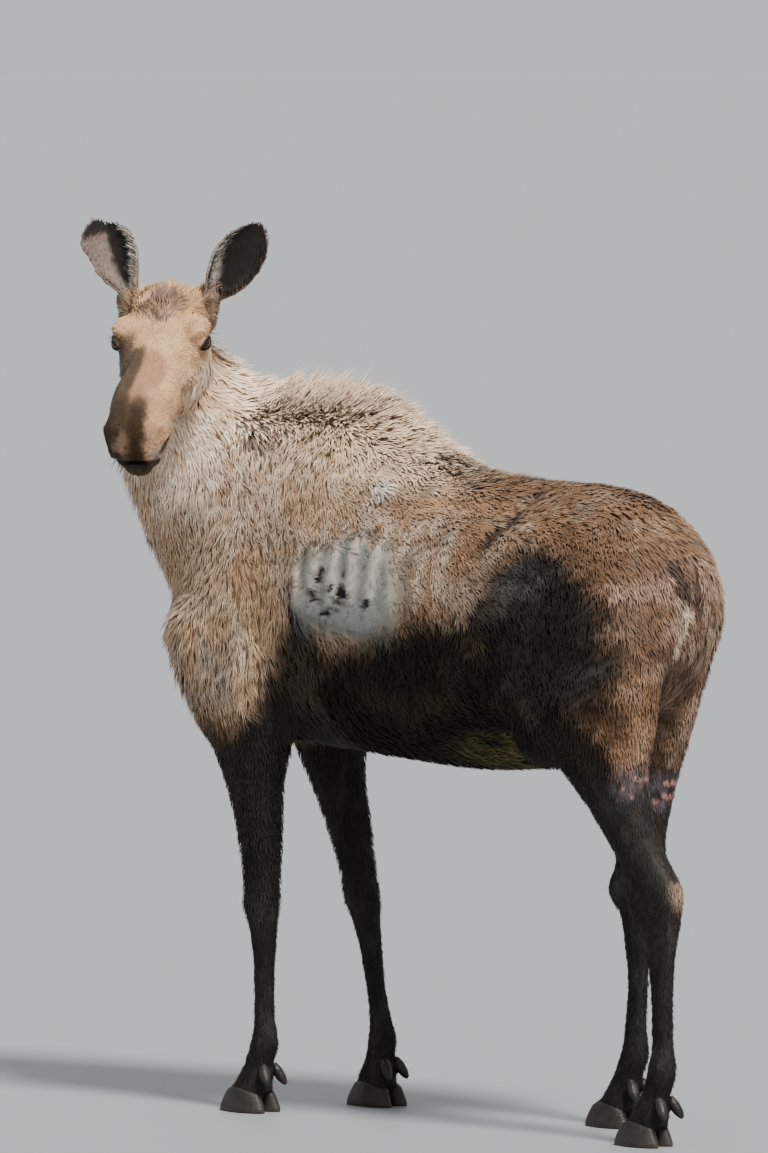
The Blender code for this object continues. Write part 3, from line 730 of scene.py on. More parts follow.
def widenEars(mesh):
    # the ears' cups open wider than their solids, most at mid length
    places, normals = meshPlaces(mesh), meshNormals(mesh)
    local = headPlaces(places)
    for side in (1, -1):
        along, across, _, outer, axis, acrossAxis = earPlaces(local, normals, side)
        mine = (local[:, 0] * side > 0) * ease(0.05, 0.30, along) * ease(1.04, 0.94, along)
        tip = earFacts["left" if side > 0 else "right"]["tipWidening"]
        tip = tip * ease(0.0, 0.6, outer) * ease(0.55, 0.90, along)
        wider = (earFacts["widening"] + tip) * mine * across * earHalf(along)
        longer = 0.045 * tip * mine
        places += wider[:, None] * (acrossAxis @ headAxes) + longer[:, None] * (axis @ headAxes)
    setPlaces(mesh, places)


nostrilLine = onHead(nostril["line"])
foldLine, litBandLine, neckLine = onBody(flankFold), onBody(flankLitBand), onBody(neckFold)
sculptHead(skin.data, regionShares(skin.data, nearestSolid(skin.data)))
clearEyes(skin.data)
earSkins, _ = melted("earSkins", earNodes, skinFacts["earVoxel"], skinFacts["earSmoothing"], -0.0008)
shaped(earSkins)
widenEars(earSkins.data)
joinSkin(skin, earSkins)
shadeSmooth(skin.data)
print("head shaped:", len(skin.data.polygons), "faces")


# The unwrap that skin and coat share: each solid's part of the skin, seen from six sides, in rows

def unwrapSkin(mesh, owner):
    corners = pulled(mesh.loops, "vertex_index", 1, np.int32)
    totals = pulled(mesh.polygons, "loop_total", 1, np.int32)
    starts = pulled(mesh.polygons, "loop_start", 1, np.int32)
    normals = pulled(mesh.polygons, "normal", 3)
    axis = np.abs(normals).argmax(1)
    facing = normals[np.arange(len(normals)), axis] > 0
    tile = owner[corners[starts]] * 6 + axis * 2 + facing
    tileOfCorner = np.repeat(tile, totals)
    axisOfCorner = np.repeat(axis, totals)
    places = meshPlaces(mesh)[corners]
    flat = np.where((axisOfCorner == 0)[:, None], places[:, [1, 2]],
                    np.where((axisOfCorner == 1)[:, None], places[:, [0, 2]], places[:, [0, 1]]))
    tiles = []
    for number in np.unique(tile):
        inside = tileOfCorner == number
        low, high = flat[inside].min(0), flat[inside].max(0)
        tiles.append((high[1] - low[1], high[0] - low[0], number, low, inside))
    tiles.sort(key=lambda one: -one[0])
    margin = 0.012
    width = math.sqrt(sum((h + margin) * (w + margin) for h, w, *_ in tiles)) * 1.08
    x = y = rowHeight = 0.0
    for high, wide, number, low, inside in tiles:
        if x + wide > width:
            x, y, rowHeight = 0.0, y + rowHeight + margin, 0.0
        flat[inside] += np.array((x, y)) - low
        x += wide + margin
        rowHeight = max(rowHeight, high)
    unwrap = mesh.uv_layers.new(name="OFBake")
    unwrap.data.foreach_set("uv", (flat / max(width, y + rowHeight)).astype(np.float32).ravel())


owner = nearestSolid(skin.data)
share = regionShares(skin.data, owner)
unwrapSkin(skin.data, owner)
print("skin unwrapped")


# Markings

tones = {
    "warmBrown": (0.255, 0.140, 0.075),
    "goldBrown": (0.450, 0.270, 0.150),
    "deepBrown": (0.085, 0.045, 0.024),
    "greyTip": (0.500, 0.395, 0.320),
    "mauve": (0.380, 0.255, 0.190),
    "tan": (0.540, 0.345, 0.205),
    "shadedTan": (0.250, 0.155, 0.090),
    "paleHair": (0.860, 0.720, 0.570),
    "palePatch": (0.680, 0.580, 0.485),
    "maneTip": (0.850, 0.640, 0.450),
    "darkFlank": (0.013, 0.009, 0.005),
    "darkWarm": (0.065, 0.044, 0.026),
    "darkGrey": (0.050, 0.044, 0.038),
    "ash": (0.095, 0.086, 0.082),
    "belly": (0.010, 0.008, 0.005),
    "groin": (0.150, 0.125, 0.050),
    "leg": (0.020, 0.017, 0.014),
    "legGrey": (0.060, 0.054, 0.045),
    "lowLeg": (0.010, 0.010, 0.009),
    "blueBlackSheen": (0.010, 0.015, 0.020),
    "hockTip": (0.560, 0.360, 0.240),
    "greyPatch": (0.255, 0.265, 0.245),
    "greyShade": (0.115, 0.128, 0.122),
    "ribHighlight": (0.580, 0.530, 0.460),
    "moultGrey": (0.400, 0.365, 0.325),
    "cream": (0.560, 0.450, 0.310),
    "whiteTuft": (0.850, 0.800, 0.740),
    "rawSkin": (0.340, 0.165, 0.150),
    "creaseShade": (0.030, 0.018, 0.012),
    "face": (0.600, 0.370, 0.200),
    "ginger": (0.420, 0.225, 0.110),
    "sideShade": (0.060, 0.040, 0.026),
    "templeDarkAndShade": (0.070, 0.048, 0.036),
    "crown": (0.270, 0.175, 0.130),
    "litBandHair": (0.300, 0.210, 0.150),
    "crust": (0.120, 0.098, 0.104),
    "bridge": (0.320, 0.180, 0.108),
    "noseBrownAndShade": (0.050, 0.031, 0.018),
    "noseFront": (0.030, 0.015, 0.006),
    "sunlitNosePatch": (0.280, 0.180, 0.120),
    "lipGrey": (0.250, 0.225, 0.205),
    "lipsAndShade": (0.024, 0.017, 0.012),
    "lowerLipGrassReflection": (0.070, 0.055, 0.016),
    "cheek": (0.620, 0.410, 0.250),
    "forelock": (0.070, 0.043, 0.032),
    "eyeRim": (0.010, 0.007, 0.006),
    "lowerLid": (0.300, 0.270, 0.270),
    "tearStain": (0.360, 0.180, 0.080),
    "earInside": (0.014, 0.010, 0.008),
    "earFringe": (0.440, 0.395, 0.340),
    "earBack": (0.230, 0.160, 0.115),
    "earFlap": (0.190, 0.140, 0.122),
    "earFootDarkAndShade": (0.120, 0.085, 0.062),
    "mudAndMouthShade": (0.004, 0.004, 0.005),
}
mudSpots = [            # dried mud on the bare patch: y and z of each spot, and its reach
    ((-0.105, 1.320), (0.022, 0.026)), ((-0.112, 1.338), (0.012, 0.020)), ((-0.187, 1.377), (0.011, 0.026)),
    ((-0.140, 1.347), (0.010, 0.013)), ((-0.096, 1.380), (0.008, 0.012)), ((-0.015, 1.309), (0.013, 0.013)),
    ((-0.203, 1.322), (0.008, 0.024)), ((-0.176, 1.311), (0.010, 0.010)), ((-0.156, 1.282), (0.022, 0.008)),
]


def plain(tone, count):
    return np.tile(np.array(tones[tone]), (count, 1))


def mixed(colours, share, tone):
    # tone is a name from tones, or a colour for each place
    colour = np.array(tones[tone]) if isinstance(tone, str) else tone
    return colours * (1 - share[:, None]) + colour * share[:, None]


def bodyTint(own, normals):
    # the long brown coat: golden in front, darker and mauve behind, pale on the hump and the neck
    x, y, z = own.T
    big, mid, small = cloud(own, 0.16, 1), cloud(own, 0.05, 2), cloud(own, 0.018, 3)
    streaky = cloud(own * np.array((1, 1.6, 0.45)), 0.022, 14)
    tint = plain("warmBrown", len(own))
    tint = mixed(tint, 0.55 * ease(-0.1, 0.8, mid + 0.5 * big), "goldBrown")
    tint = mixed(tint, 0.68 * ease(-0.1, 0.7, -mid + 0.5 * small), "deepBrown")
    rump = ease(0.20, 0.50, y + 0.05 * mid)
    tint = mixed(tint, rump * (0.30 + 0.35 * ease(-0.3, 0.6, -big + 0.5 * mid)), "deepBrown")
    tint = mixed(tint, 0.40 * ease(0.1, 0.9, streaky + 0.4 * big) * ease(1.15, 1.35, z), "greyTip")
    # the far hind leg is paler further forward than the near one: painted light where the sun falls on it
    sunlitFarLeg = ease(0.02, -0.04, x)
    rearEdge = ease(0.70, 0.84, y + 0.24 * sunlitFarLeg + 0.08 * (z - 1.2) + 0.04 * mid)
    rearEdge *= ease(0.86, 0.94, z) * ease(1.56, 1.40, z)
    tint = mixed(tint, 0.75 * rearEdge * ease(-0.5, 0.6, small + mid + 0.5 * streaky), "mauve")
    front = ease(-0.02, -0.22, y + 0.25 * (z - 1.35) + 0.05 * big + 0.03 * mid)
    tint = mixed(tint, front * ease(0.90, 1.04, z + 0.04 * mid), "tan")
    high = ease(1.50, 1.66, z) * ease(0.10, -0.10, y)
    shaded = ease(0.0, 0.7, mid + 0.4 * small + 0.5 * big)
    tint = mixed(tint, front * 0.70 * (1 - 0.75 * high) * shaded, "shadedTan")
    tint = mixed(tint, 0.60 * high * ease(-0.6, 0.4, streaky - 0.5 * mid), "maneTip")
    tint = mixed(tint, front * 0.35 * ease(0.2, 0.9, streaky - 0.5 * big), "paleHair")
    mane = ease(0.22, 0.75, maneShare(own, normals)) * ease(0.20, -0.06, y + 0.03 * mid)
    tint = mixed(tint, 0.95 * mane, "maneTip")
    tint = mixed(tint, 0.15 * mane * ease(0.0, 0.8, streaky + 0.5 * mid), "shadedTan")
    neckSide = blot(own, (0.20, -0.62, 1.68), (0.26, 0.28, 0.36))
    neckSide = neckSide + 0.9 * fringeShare(own) * ease(1.25, 1.45, z)
    tint = mixed(tint, 0.90 * np.clip(neckSide, 0, 1) * ease(-0.8, 0.3, small + streaky), "paleHair")
    moult = blot(own, (0.27, -0.57, 1.19), (0.20, 0.17, 0.20)) ** 0.7 * ease(-0.6, 0.5, mid + 0.6 * small)
    tint = mixed(tint, 0.65 * moult, "moultGrey")
    behind = blot(own, (0.29, -0.33, 1.43), (0.20, 0.11, 0.10)) ** 0.7 * ease(-0.7, 0.4, streaky + small)
    tint = mixed(tint, 0.75 * behind * (x > 0.02), "palePatch")
    # painted shade behind the elbow
    lightingBlot = blot(own, (0.29, -0.36, 1.16), (0.20, 0.09, 0.13)) ** 0.7
    tint = mixed(tint, 0.55 * lightingBlot * ease(-0.5, 0.5, mid + small), "shadedTan")
    tint = mixed(tint, 0.95 * ease(0.3, 0.7, tuftShare(own)), "whiteTuft")
    # painted shade in the fold of the neck, under the overhanging mane
    crease = awayFrom(own, neckLine)[0]
    return mixed(tint, 0.75 * ease(0.024, 0.006, crease + 0.006 * small), "creaseShade")


def darkCoatAndShadeTint(own, tint):
    # the short dark summer coat of the flanks, belly and thigh fronts, with painted shade below the flank's
    # bulge
    x, y, z = own.T
    big, mid, small = cloud(own, 0.16, 1), cloud(own, 0.05, 2), cloud(own, 0.018, 3)
    soft = 0.020 + 0.030 * ease(0.26, 0.10, y)
    edge = np.interp(y, darkEdge["along"], darkEdge["height"]) + 0.4 * soft * mid + 0.25 * soft * small
    dark = ease(1.0, -1.0, (z - edge) / soft) * ease(-0.52, -0.45, y + 0.03 * mid)
    # on the far hind leg the dark ends further forward: painted light
    rear = np.interp(z, thighEdge["height"], thighEdge["along"]) - 0.22 * ease(0.02, -0.04, x)
    dark *= ease(0.060, -0.060, y - rear + 0.035 * mid + 0.025 * small + 0.02 * big)
    dark *= 1 - 0.80 * ease(1.42, 1.54, z + 0.04 * mid)
    fold, along = awayFrom(folded(own), foldLine)
    band, run = awayFrom(folded(own), litBandLine)
    wide = np.interp(run, (0, 0.25, 0.5, 0.8, 1.0), (0.010, 0.018, 0.026, 0.032, 0.014))
    litBandShare = ease(1.4, 0.7, (band + 0.006 * small) / wide)
    beside = ease(0.16, 0.0, y - rear + 0.03 * mid) * ease(1.52, 1.40, z) * ease(0.90, 1.0, z) * (y > 0.3)
    tint = mixed(tint, 0.55 * beside * ease(-0.6, 0.4, -mid + small), "deepBrown")
    coat = plain("darkFlank", len(own))
    coat = mixed(coat, 0.55 * ease(0.0, 0.9, mid + 0.6 * big), "darkWarm")
    coat = mixed(coat, 0.45 * ease(0.1, 0.9, small - 0.5 * big) * ease(0.2, 0.35, y + 0.1 * mid), "darkGrey")
    ash = blot(own[:, 1:], (0.42, 1.40), (0.09, 0.13)) ** 0.6
    coat = mixed(coat, 0.75 * ash * ease(-0.7, 0.3, mid + small), "ash")
    arm = blot(own[:, 1:], (-0.27, 1.17), (0.13, 0.16)) ** 0.6
    coat = mixed(coat, 0.8 * arm * ease(-0.6, 0.6, mid + small), "darkWarm")
    # the dark underside: dark hair, darkened further by painted shade where the body curves under
    tint = mixed(tint, dark, coat)
    # a painted sunlit band below the crease ahead of each thigh
    tint = mixed(tint, 0.85 * litBandShare, "litBandHair")
    # the belly is near black: dark hair and painted shade under the body
    under = ease(1.10, 0.99, z + 0.03 * mid) * ease(0.70, 0.45, y) * ease(-0.5, -0.36, y)
    tint = mixed(tint, 0.92 * under, "belly")
    # painted shade in the crease ahead of each thigh
    tint = mixed(tint, 0.95 * ease(0.026, 0.012, fold + 0.005 * small) * ease(1.05, 0.80, along), "creaseShade")
    groin = blot(own, (0.06, 0.31, 0.95), (0.26, 0.22, 0.085)) ** 0.5
    return mixed(tint, 0.85 * groin * ease(-0.9, 0.3, mid + small), "groin")


def patchTint(own, tint):
    # bare grey skin over the ribs with spots of dried mud; painted highlights on the ribs, painted shade
    # between them and low down
    patch = patchShare(own)
    x, y, z = own.T
    alongRibs = y + 0.10 * (z - 1.35) + 0.135 + 0.004 * cloud(own, 0.05, 15)
    rib = 0.5 + 0.5 * np.cos(alongRibs / 0.067 * 2 * math.pi)
    mottled = 0.5 + 0.5 * cloud(own, 0.020, 16)
    bare = mixed(plain("greyPatch", len(own)), 0.4 * mottled, "greyShade")
    lit = ease(1.255, 1.36, z + 0.02 * cloud(own, 0.03, 17))
    bare = mixed(bare, 0.75 * lit * rib ** 1.4, "ribHighlight")
    bare = mixed(bare, 0.75 * lit * (1 - rib) ** 1.6, "greyShade")
    bare = mixed(bare, 0.55 * ease(1.36, 1.26, z + 0.03 * mottled), "greyShade")
    # painted shade towards the patch's rear
    bare = mixed(bare, 0.45 * ease(-0.04, 0.10, y + 0.02 * mottled), "greyShade")
    tint = mixed(tint, 0.96 * patch, bare)
    # pale stripes over the ribs in the hair above and behind the patch are painted highlights
    above = ease(1.40, 1.46, z) * ease(1.57, 1.49, z) * (x > 0.05)
    above = above * ease(-0.26, -0.20, y) * ease(0.24, 0.16, y)
    tint = mixed(tint, 0.60 * above * rib ** 1.5 * (1 - patch), "palePatch")
    behind = ease(1.30, 1.36, z) * ease(1.50, 1.42, z) * (x > 0.05)
    behind = behind * ease(0.10, 0.13, y) * ease(0.26, 0.20, y)
    tint = mixed(tint, 0.50 * behind * rib ** 1.5 * (1 - patch), "palePatch")
    spots = np.zeros(len(own))
    for at, reach in mudSpots:
        gap = np.hypot((y - at[0]) / reach[0] - 0.35 * (z - at[1]) / reach[1], (z - at[1]) / reach[1])
        spots = np.maximum(spots, ease(1.15, 0.75, gap + 0.55 * cloud(own, 0.011, 18)))
    fleck = ease(0.50, 0.62, cloud(own * np.array((1, 1.4, 0.6)), 0.012, 9))
    fleck = fleck * blot(own[:, 1:], (-0.15, 1.33), (0.10, 0.10)) ** 0.5
    return mixed(tint, np.clip((spots + 0.8 * fleck) * patch, 0, 1), "mudAndMouthShade")


def legTint(own, tint, share):
    # dark legs with pale hocks, raw spots behind the shanks, and the shade and pale hair by the tail
    x, y, z = own.T
    mid, small = cloud(own, 0.04, 5), cloud(own, 0.012, 6)
    streaky = cloud(own * np.array((1, 1, 0.3)), 0.018, 19)
    limb = share["upperLeg"] + share["lowerLeg"]
    fore = ease(0.0, -0.2, y)
    foreTone = ease(1.08, 0.92, z + 0.04 * mid)
    # on the far hind leg the dark starts lower: painted light
    hindTone = ease(0.97, 0.84, z + 0.30 * (y + 0.20 * ease(0.02, -0.04, x) - 0.72) + 0.03 * mid)
    legTone = (foreTone * fore + hindTone * (1 - fore)) * np.clip(limb * 1.5 + ease(0.95, 0.8, z), 0, 1)
    tint = mixed(tint, 0.97 * legTone, "leg")
    tint = mixed(tint, 0.55 * legTone * ease(0.0, 0.8, streaky + 0.5 * mid), "legGrey")
    tint = mixed(tint, 0.8 * ease(0.60, 0.40, z), "lowLeg")
    # the hind shins: dark hair with a painted bluish sheen
    shin = ease(0.55, 0.75, z) * ease(0.92, 0.84, z) * (1 - fore)
    tint = mixed(tint, 0.55 * shin * ease(0.1, 0.8, mid + 0.5 * small), "blueBlackSheen")
    tint = mixed(tint, 0.30 * ease(0.3, 0.9, mid + small) * ease(0.6, 0.4, z), "legGrey")
    hock = blot(own[:, 1:], (0.895, 0.635), (0.055, 0.075)) ** 0.6
    tint = mixed(tint, 0.85 * hock * ease(-0.8, 0.2, mid), "hockTip")
    for side, middle, level in ((1, 0.742, 0.900), (-1, 0.570, 0.845)):
        mine = x * side > 0.02
        around = blot(own[:, 1:], (middle, level), (0.050, 0.062)) ** 0.7 * mine
        tint = mixed(tint, 0.65 * around * ease(-0.5, 0.4, streaky + small), "crust")
    for side, along, height, reach in sores:
        gap = np.hypot(y - along, (z - height) * 0.8) / reach + 0.5 * cloud(own, 0.008, 7)
        tint = mixed(tint, 0.80 * ease(1.2, 0.6, gap) * (x * side > 0.02), "rawSkin")
    # painted shade in the hollow beside the tail
    shadedHollow = awayFrom(own, onBody(tailHollow))[0]
    tint = mixed(tint, 0.9 * ease(0.022, 0.010, shadedHollow + 0.006 * small), "creaseShade")
    cream = awayFrom(own, onBody(creamLine))[0]
    return mixed(tint, 0.9 * ease(0.020, 0.007, cream + 0.005 * small), "cream")


def headTint(local, tint, share):
    both = folded(local)
    x, y, z = local.T
    outer = both[:, 0]
    big, mid, small = cloud(local, 0.07, 10), cloud(local, 0.028, 11), cloud(local, 0.010, 12)
    face = plain("face", len(local))
    face = mixed(face, 0.35 * ease(-0.1, 0.8, mid + 0.4 * big), "cheek")
    face = mixed(face, 0.35 * ease(0.0, 0.8, -mid + 0.5 * small), "ginger")
    face = mixed(face, 0.60 * ease(0.055, 0.090, outer) * ease(-0.05, -0.12, z), "cheek")
    arch = blot(local[:, :2], (-0.002, 0.385), (0.058, 0.125)) ** 0.5
    face = mixed(face, 0.85 * ease(0.10, 0.50, arch + 0.08 * mid), "bridge")
    face = mixed(face, 0.60 * ease(0.42, 0.50, y + 0.010 * mid), "bridge")
    face = mixed(face, 0.30 * ease(-0.2, 0.6, small + 0.5 * mid), "ginger")
    # painted shade darkens the right side of the head; the snout is dark brown with painted shade, darkest
    # in a stripe down the front
    shadedRightSide = ease(-0.014, -0.030, x + 0.005 * mid) * ease(0.225, 0.265, y + 0.006 * mid)
    shadedHollow = ease(-0.045, -0.065, x) * ease(0.14, 0.19, y) * ease(-0.01, -0.035, z)
    face = mixed(face, 0.92 * np.maximum(shadedRightSide, 0.9 * shadedHollow), "sideShade")
    snout = ease(0.050, 0.008, x + 0.010 * mid + 0.004 * small)
    snout = snout * ease(0.475, 0.530, y - 0.20 * np.abs(x) + 0.012 * mid)
    face = mixed(face, 0.92 * snout, "noseBrownAndShade")
    # a painted sunlit patch on the shaded right side of the snout
    lightingBlot = blot(local, (-0.038, 0.595, -0.100), (0.026, 0.06, 0.046)) ** 0.7
    face = mixed(face, 0.75 * lightingBlot * ease(-0.4, 0.4, small + mid), "sunlitNosePatch")
    stripe = ease(0.034, 0.006, np.abs(x - 0.004) + 0.008 * small) * ease(0.500, 0.550, y + 0.010 * mid)
    face = mixed(face, 0.90 * stripe, "noseFront")
    grey = blot(local, (0.056, 0.590, -0.130), (0.034, 0.05, 0.034)) ** 0.6
    face = mixed(face, 0.60 * grey, "lipGrey")
    # dark lip skin with painted shade in the lips' parting, along the mouth and under the chin
    front = ease(0.47, 0.53, y)
    face = mixed(face, 0.85 * front * ease(-0.128, -0.142, z + 0.25 * outer), "lipsAndShade")
    # the lower lip's olive tint is a painted reflection of light from green grass
    lower = front * ease(-0.156, -0.164, z + 0.15 * outer)
    face = mixed(face, 0.80 * lower * ease(-0.8, 0.2, small), "lowerLipGrassReflection")
    face = mixed(face, 0.70 * front * ease(-0.190, -0.205, z), "lipsAndShade")
    line = np.array(mouth["line"])
    gap = np.abs(z - np.interp(y, line[::-1, 1], line[::-1, 2]))
    face = mixed(face, 0.7 * ease(0.34, 0.37, y) * ease(1.0, 0.4, gap / mouth["width"]), "lipsAndShade")
    # painted shade, near black, where the lips part at the front
    face = mixed(face, ease(0.032, 0.016, outer) * front * ease(1.3, 0.6, gap / mouth["width"]), "mudAndMouthShade")
    # painted shade in the nostrils' hollows and round them
    away, _ = awayFrom(both, nostrilLine)
    face = mixed(face, 0.90 * ease(1.3, 0.8, away / nostril["width"]), "lipsAndShade")
    face = mixed(face, 0.35 * ease(2.6, 1.3, away / nostril["width"]), "noseBrownAndShade")
    curls = cloud(local * np.array((1.0, 1.9, 1.0)), 0.015, 23)
    brow = blot(local, (-0.002, 0.125, 0.030), (0.056, 0.066, 0.07)) ** 0.5
    face = mixed(face, 0.70 * ease(0.1, 0.5, brow), "crown")
    face = mixed(face, 0.85 * ease(0.1, 0.5, brow) * ease(-0.1, 0.4, curls + 0.3 * mid), "forelock")
    around = blot(local, (0.008, 0.120, 0.020), (0.090, 0.105, 0.08)) ** 0.5
    face = mixed(face, 0.40 * around * ease(0.0, 0.5, curls - 0.3 * mid), "crown")
    face = mixed(face, 0.75 * blot(both, (0.098, 0.236, -0.108), (0.03, 0.022, 0.050)) ** 0.6, "tearStain")
    # dark brown hair and painted shade at the temples, round the ears' roots
    face = mixed(face, 0.92 * blot(both, (0.112, 0.030, -0.050), (0.042, 0.075, 0.075)) ** 0.5, "templeDarkAndShade")
    face = mixed(face, 0.85 * jawShare(local) * ease(-0.8, 0.2, small), "paleHair")
    return mixed(tint, share["head"], face)


def eyeTint(places, tint):
    # dark rims, a pale front corner below each eye, and dark hair above it
    for side in (1, -1):
        distance, off, turn = eyePolar(places, side)
        beyond = off - openingAt(turn)
        near = (distance < 0.036) & (off < 92)
        above = ease(-0.2, 0.4, np.sin(turn))
        frontLow = ease(0.3, -0.2, np.sin(turn)) * ease(-0.3, 0.3, np.cos(turn))
        tint = mixed(tint, 0.85 * near * frontLow * ease(2, 5, beyond) * ease(26, 15, beyond), "lowerLid")
        tint = mixed(tint, 0.95 * near * above * ease(26, 12, beyond), "forelock")
        tint = mixed(tint, near * ease(11, 6, beyond), "eyeRim")
    return tint


def earTint(local, normals, tint, share):
    for side in (1, -1):
        along, _, inside, outer, _, _ = earPlaces(local, normals, side)
        mine = share["ear"] * (local[:, 0] * side > 0)
        broken = 0.10 * cloud(local, 0.010, 13)
        colours = plain("earBack", len(local))
        colours = mixed(colours, inside, "earInside")
        flap = ease(0.10, 0.40, outer + broken) if side < 0 else ease(0.94, 1.06, outer + broken)
        colours = mixed(colours, 0.9 * inside * flap * ease(0.95, 0.85, along), "earFlap")
        turn = np.interp(along, (0.10, 0.30, 0.60, 0.90), (0.15, -0.20, -0.58, -0.85))
        inner = ease(0.18, -0.18, outer - turn + broken)
        colours = mixed(colours, 0.9 * inside * inner * ease(0.97, 0.85, along), "earFringe")
        # the foot of each ear is darker: dark hair and painted shade
        colours = mixed(colours, 0.8 * ease(0.16, 0.04, along + broken), "earFootDarkAndShade")
        tint = mixed(tint, mine, colours)
    return tint


def coatTint(places, normals, share):
    own, local = ownPlaces(places), headPlaces(places)
    tint = darkCoatAndShadeTint(own, bodyTint(own, normals))
    tint = legTint(own, patchTint(own, tint), share)
    tint = headTint(local, tint, share)
    tint = earTint(local, normals, tint, share)
    return eyeTint(places, tint)


# How the coat lies: direction, length, height over the skin and width of the hair at each place

def coatLie(places, normals, share):
    own, local = ownPlaces(places), headPlaces(places)
    y = own[:, 1]
    one = np.ones(len(own))
    upward = np.clip(normals[:, 2], 0, 1)
    under = ease(-0.3, -0.8, normals[:, 2])
    trunk = np.stack([0 * one, 0.55 + 0.45 * upward + 0.4 * under, -0.85 * (1 - upward) * (1 - under)], 1)
    shoulder = ease(-0.15, -0.45, y)[:, None]
    rear = ease(0.55, 0.75, y)[:, None]
    for part in (shoulder, rear):
        trunk = trunk * (1 - part) + np.array((0, 0.35, -0.95)) * part
    run = crestRun(own)
    fromCrest, _ = awayFrom(own, crestLine)
    upper = ease(0.34, 0.10, fromCrest)[:, None]
    neck = np.array((-0.12, 0.10, -0.95)) + (0.35 + 1.1 * upper) * run
    mane = maneShare(own, normals)[:, None]
    sweep = run + np.stack([0.35 * normals[:, 0], 0.15 * one, 0 * one], 1)
    sweep += np.array((0, 0.1, -0.9)) * ease(0.75, 0.25, mane)
    trunk = trunk * (1 - mane) + sweep * mane
    neck = neck * (1 - mane) + sweep * mane
    hanging = fringeShare(own)[:, None]
    neck = neck * (1 - hanging) + np.array((-0.05, -0.10, -1)) * hanging
    leg = np.tile(np.array((0, 0.16, -1)), (len(own), 1))
    face = np.stack([0 * one, -0.85 * one, -0.15 - 0.55 * ease(0.03, 0.09, np.abs(local[:, 0]))], 1)
    ring = blot(local, (0, 0.09, 0.02), (0.11, 0.10, 0.08)) ** 0.6
    spread = np.stack([local[:, 0] / 0.14, -0.8 * one, 0 * one], 1)
    face = face * (1 - ring)[:, None] + spread * ring[:, None]
    jaw = jawShare(local)[:, None]
    face = face * (1 - jaw) + (np.array((0, 0, -1)) @ headAxes.T + np.array((0, 0.10, 0))) * jaw
    ear = np.zeros_like(own)
    for side in (1, -1):
        _, across, inside, _, axis, acrossAxis = earPlaces(local, normals, side)
        mine = (local[:, 0] * side > 0).astype(float)[:, None]
        ear += mine * (axis - 0.9 * acrossAxis * (inside * across)[:, None])
    of = {name: values[:, None] for name, values in share.items()}
    lie = (of["trunk"] * trunk + of["neck"] * neck + (of["upperLeg"] + of["lowerLeg"]) * leg
           + of["tail"] * np.array((0, 0.1, -1)) + (of["head"] * face + of["ear"] * ear) @ headAxes)
    lie -= normals * (lie * normals).sum(1)[:, None]
    lie /= np.maximum(np.linalg.norm(lie, axis=1), 1e-6)[:, None]
    furry = np.clip(share["neck"] + share["trunk"] + 0.4 * share["upperLeg"], 0, 1)
    swirl = furry * (0.55 * cloud(own, 0.12, 21) + 0.35 * cloud(own, 0.045, 22))
    swirl += share["head"] * ring * (1.3 * cloud(local, 0.030, 24) + 0.7 * cloud(local, 0.014, 25))
    turned = np.cross(normals, lie)
    return lie * np.cos(swirl)[:, None] + turned * np.sin(swirl)[:, None]


def hairSizes(own, local, normals, share):
    # length along the skin, height over it, and width, of one lock
    mane = maneShare(own, normals)
    fringe = fringeShare(own)
    front = ease(-0.05, -0.45, own[:, 1])
    crown = ease(0.20, 0.06, local[:, 1]) * ease(-0.06, 0.0, local[:, 2])
    crown = crown * ease(0.115, 0.070, np.abs(local[:, 0]))
    jaw = jawShare(local)
    muzzle = ease(0.30, 0.50, local[:, 1])
    face = 0.012 - 0.006 * muzzle + 0.013 * crown + 0.052 * jaw
    length = (share["head"] * face + share["ear"] * 0.014 + share["neck"] * (0.062 + 0.040 * fringe)
              + share["trunk"] * (0.042 + 0.020 * front) + share["tail"] * 0.045
              + share["upperLeg"] * 0.028 + share["lowerLeg"] * 0.020)
    body = share["neck"] + share["trunk"]
    stands = maneHeight(own, normals) * body * ease(0.20, 0.70, mane)
    length = length * (1 - mane) + (0.055 + 0.55 * stands) * mane
    height = coatDepths(own, local, share) + stands + share["head"] * (0.008 * crown + 0.008 * jaw)
    length = length + 0.035 * tuftShare(own)
    height = height + 0.030 * tuftShare(own)
    width = (share["head"] * (0.0026 - 0.0008 * muzzle + 0.0030 * jaw) + share["ear"] * 0.0028
             + share["neck"] * 0.0062 + share["trunk"] * 0.0052 + share["tail"] * 0.005
             + share["upperLeg"] * 0.0042 + share["lowerLeg"] * 0.0034)
    maneEdge = ease(0.04, 0.15, mane) * ease(0.65, 0.40, mane)
    width = width + 0.0030 * maneEdge * body
    length = length + 0.018 * maneEdge * body
    bare = patchShare(own)
    length = length * (1 - 0.6 * bare)
    return length, height, width * (1 - 0.4 * bare)


def addField(mesh, name, kind, values):
    attribute = mesh.attributes.new(name, kind, "POINT")
    slotName = {"FLOAT": "value", "FLOAT_VECTOR": "vector", "FLOAT_COLOR": "color"}[kind]
    attribute.data.foreach_set(slotName, np.ascontiguousarray(values, np.float32).ravel())


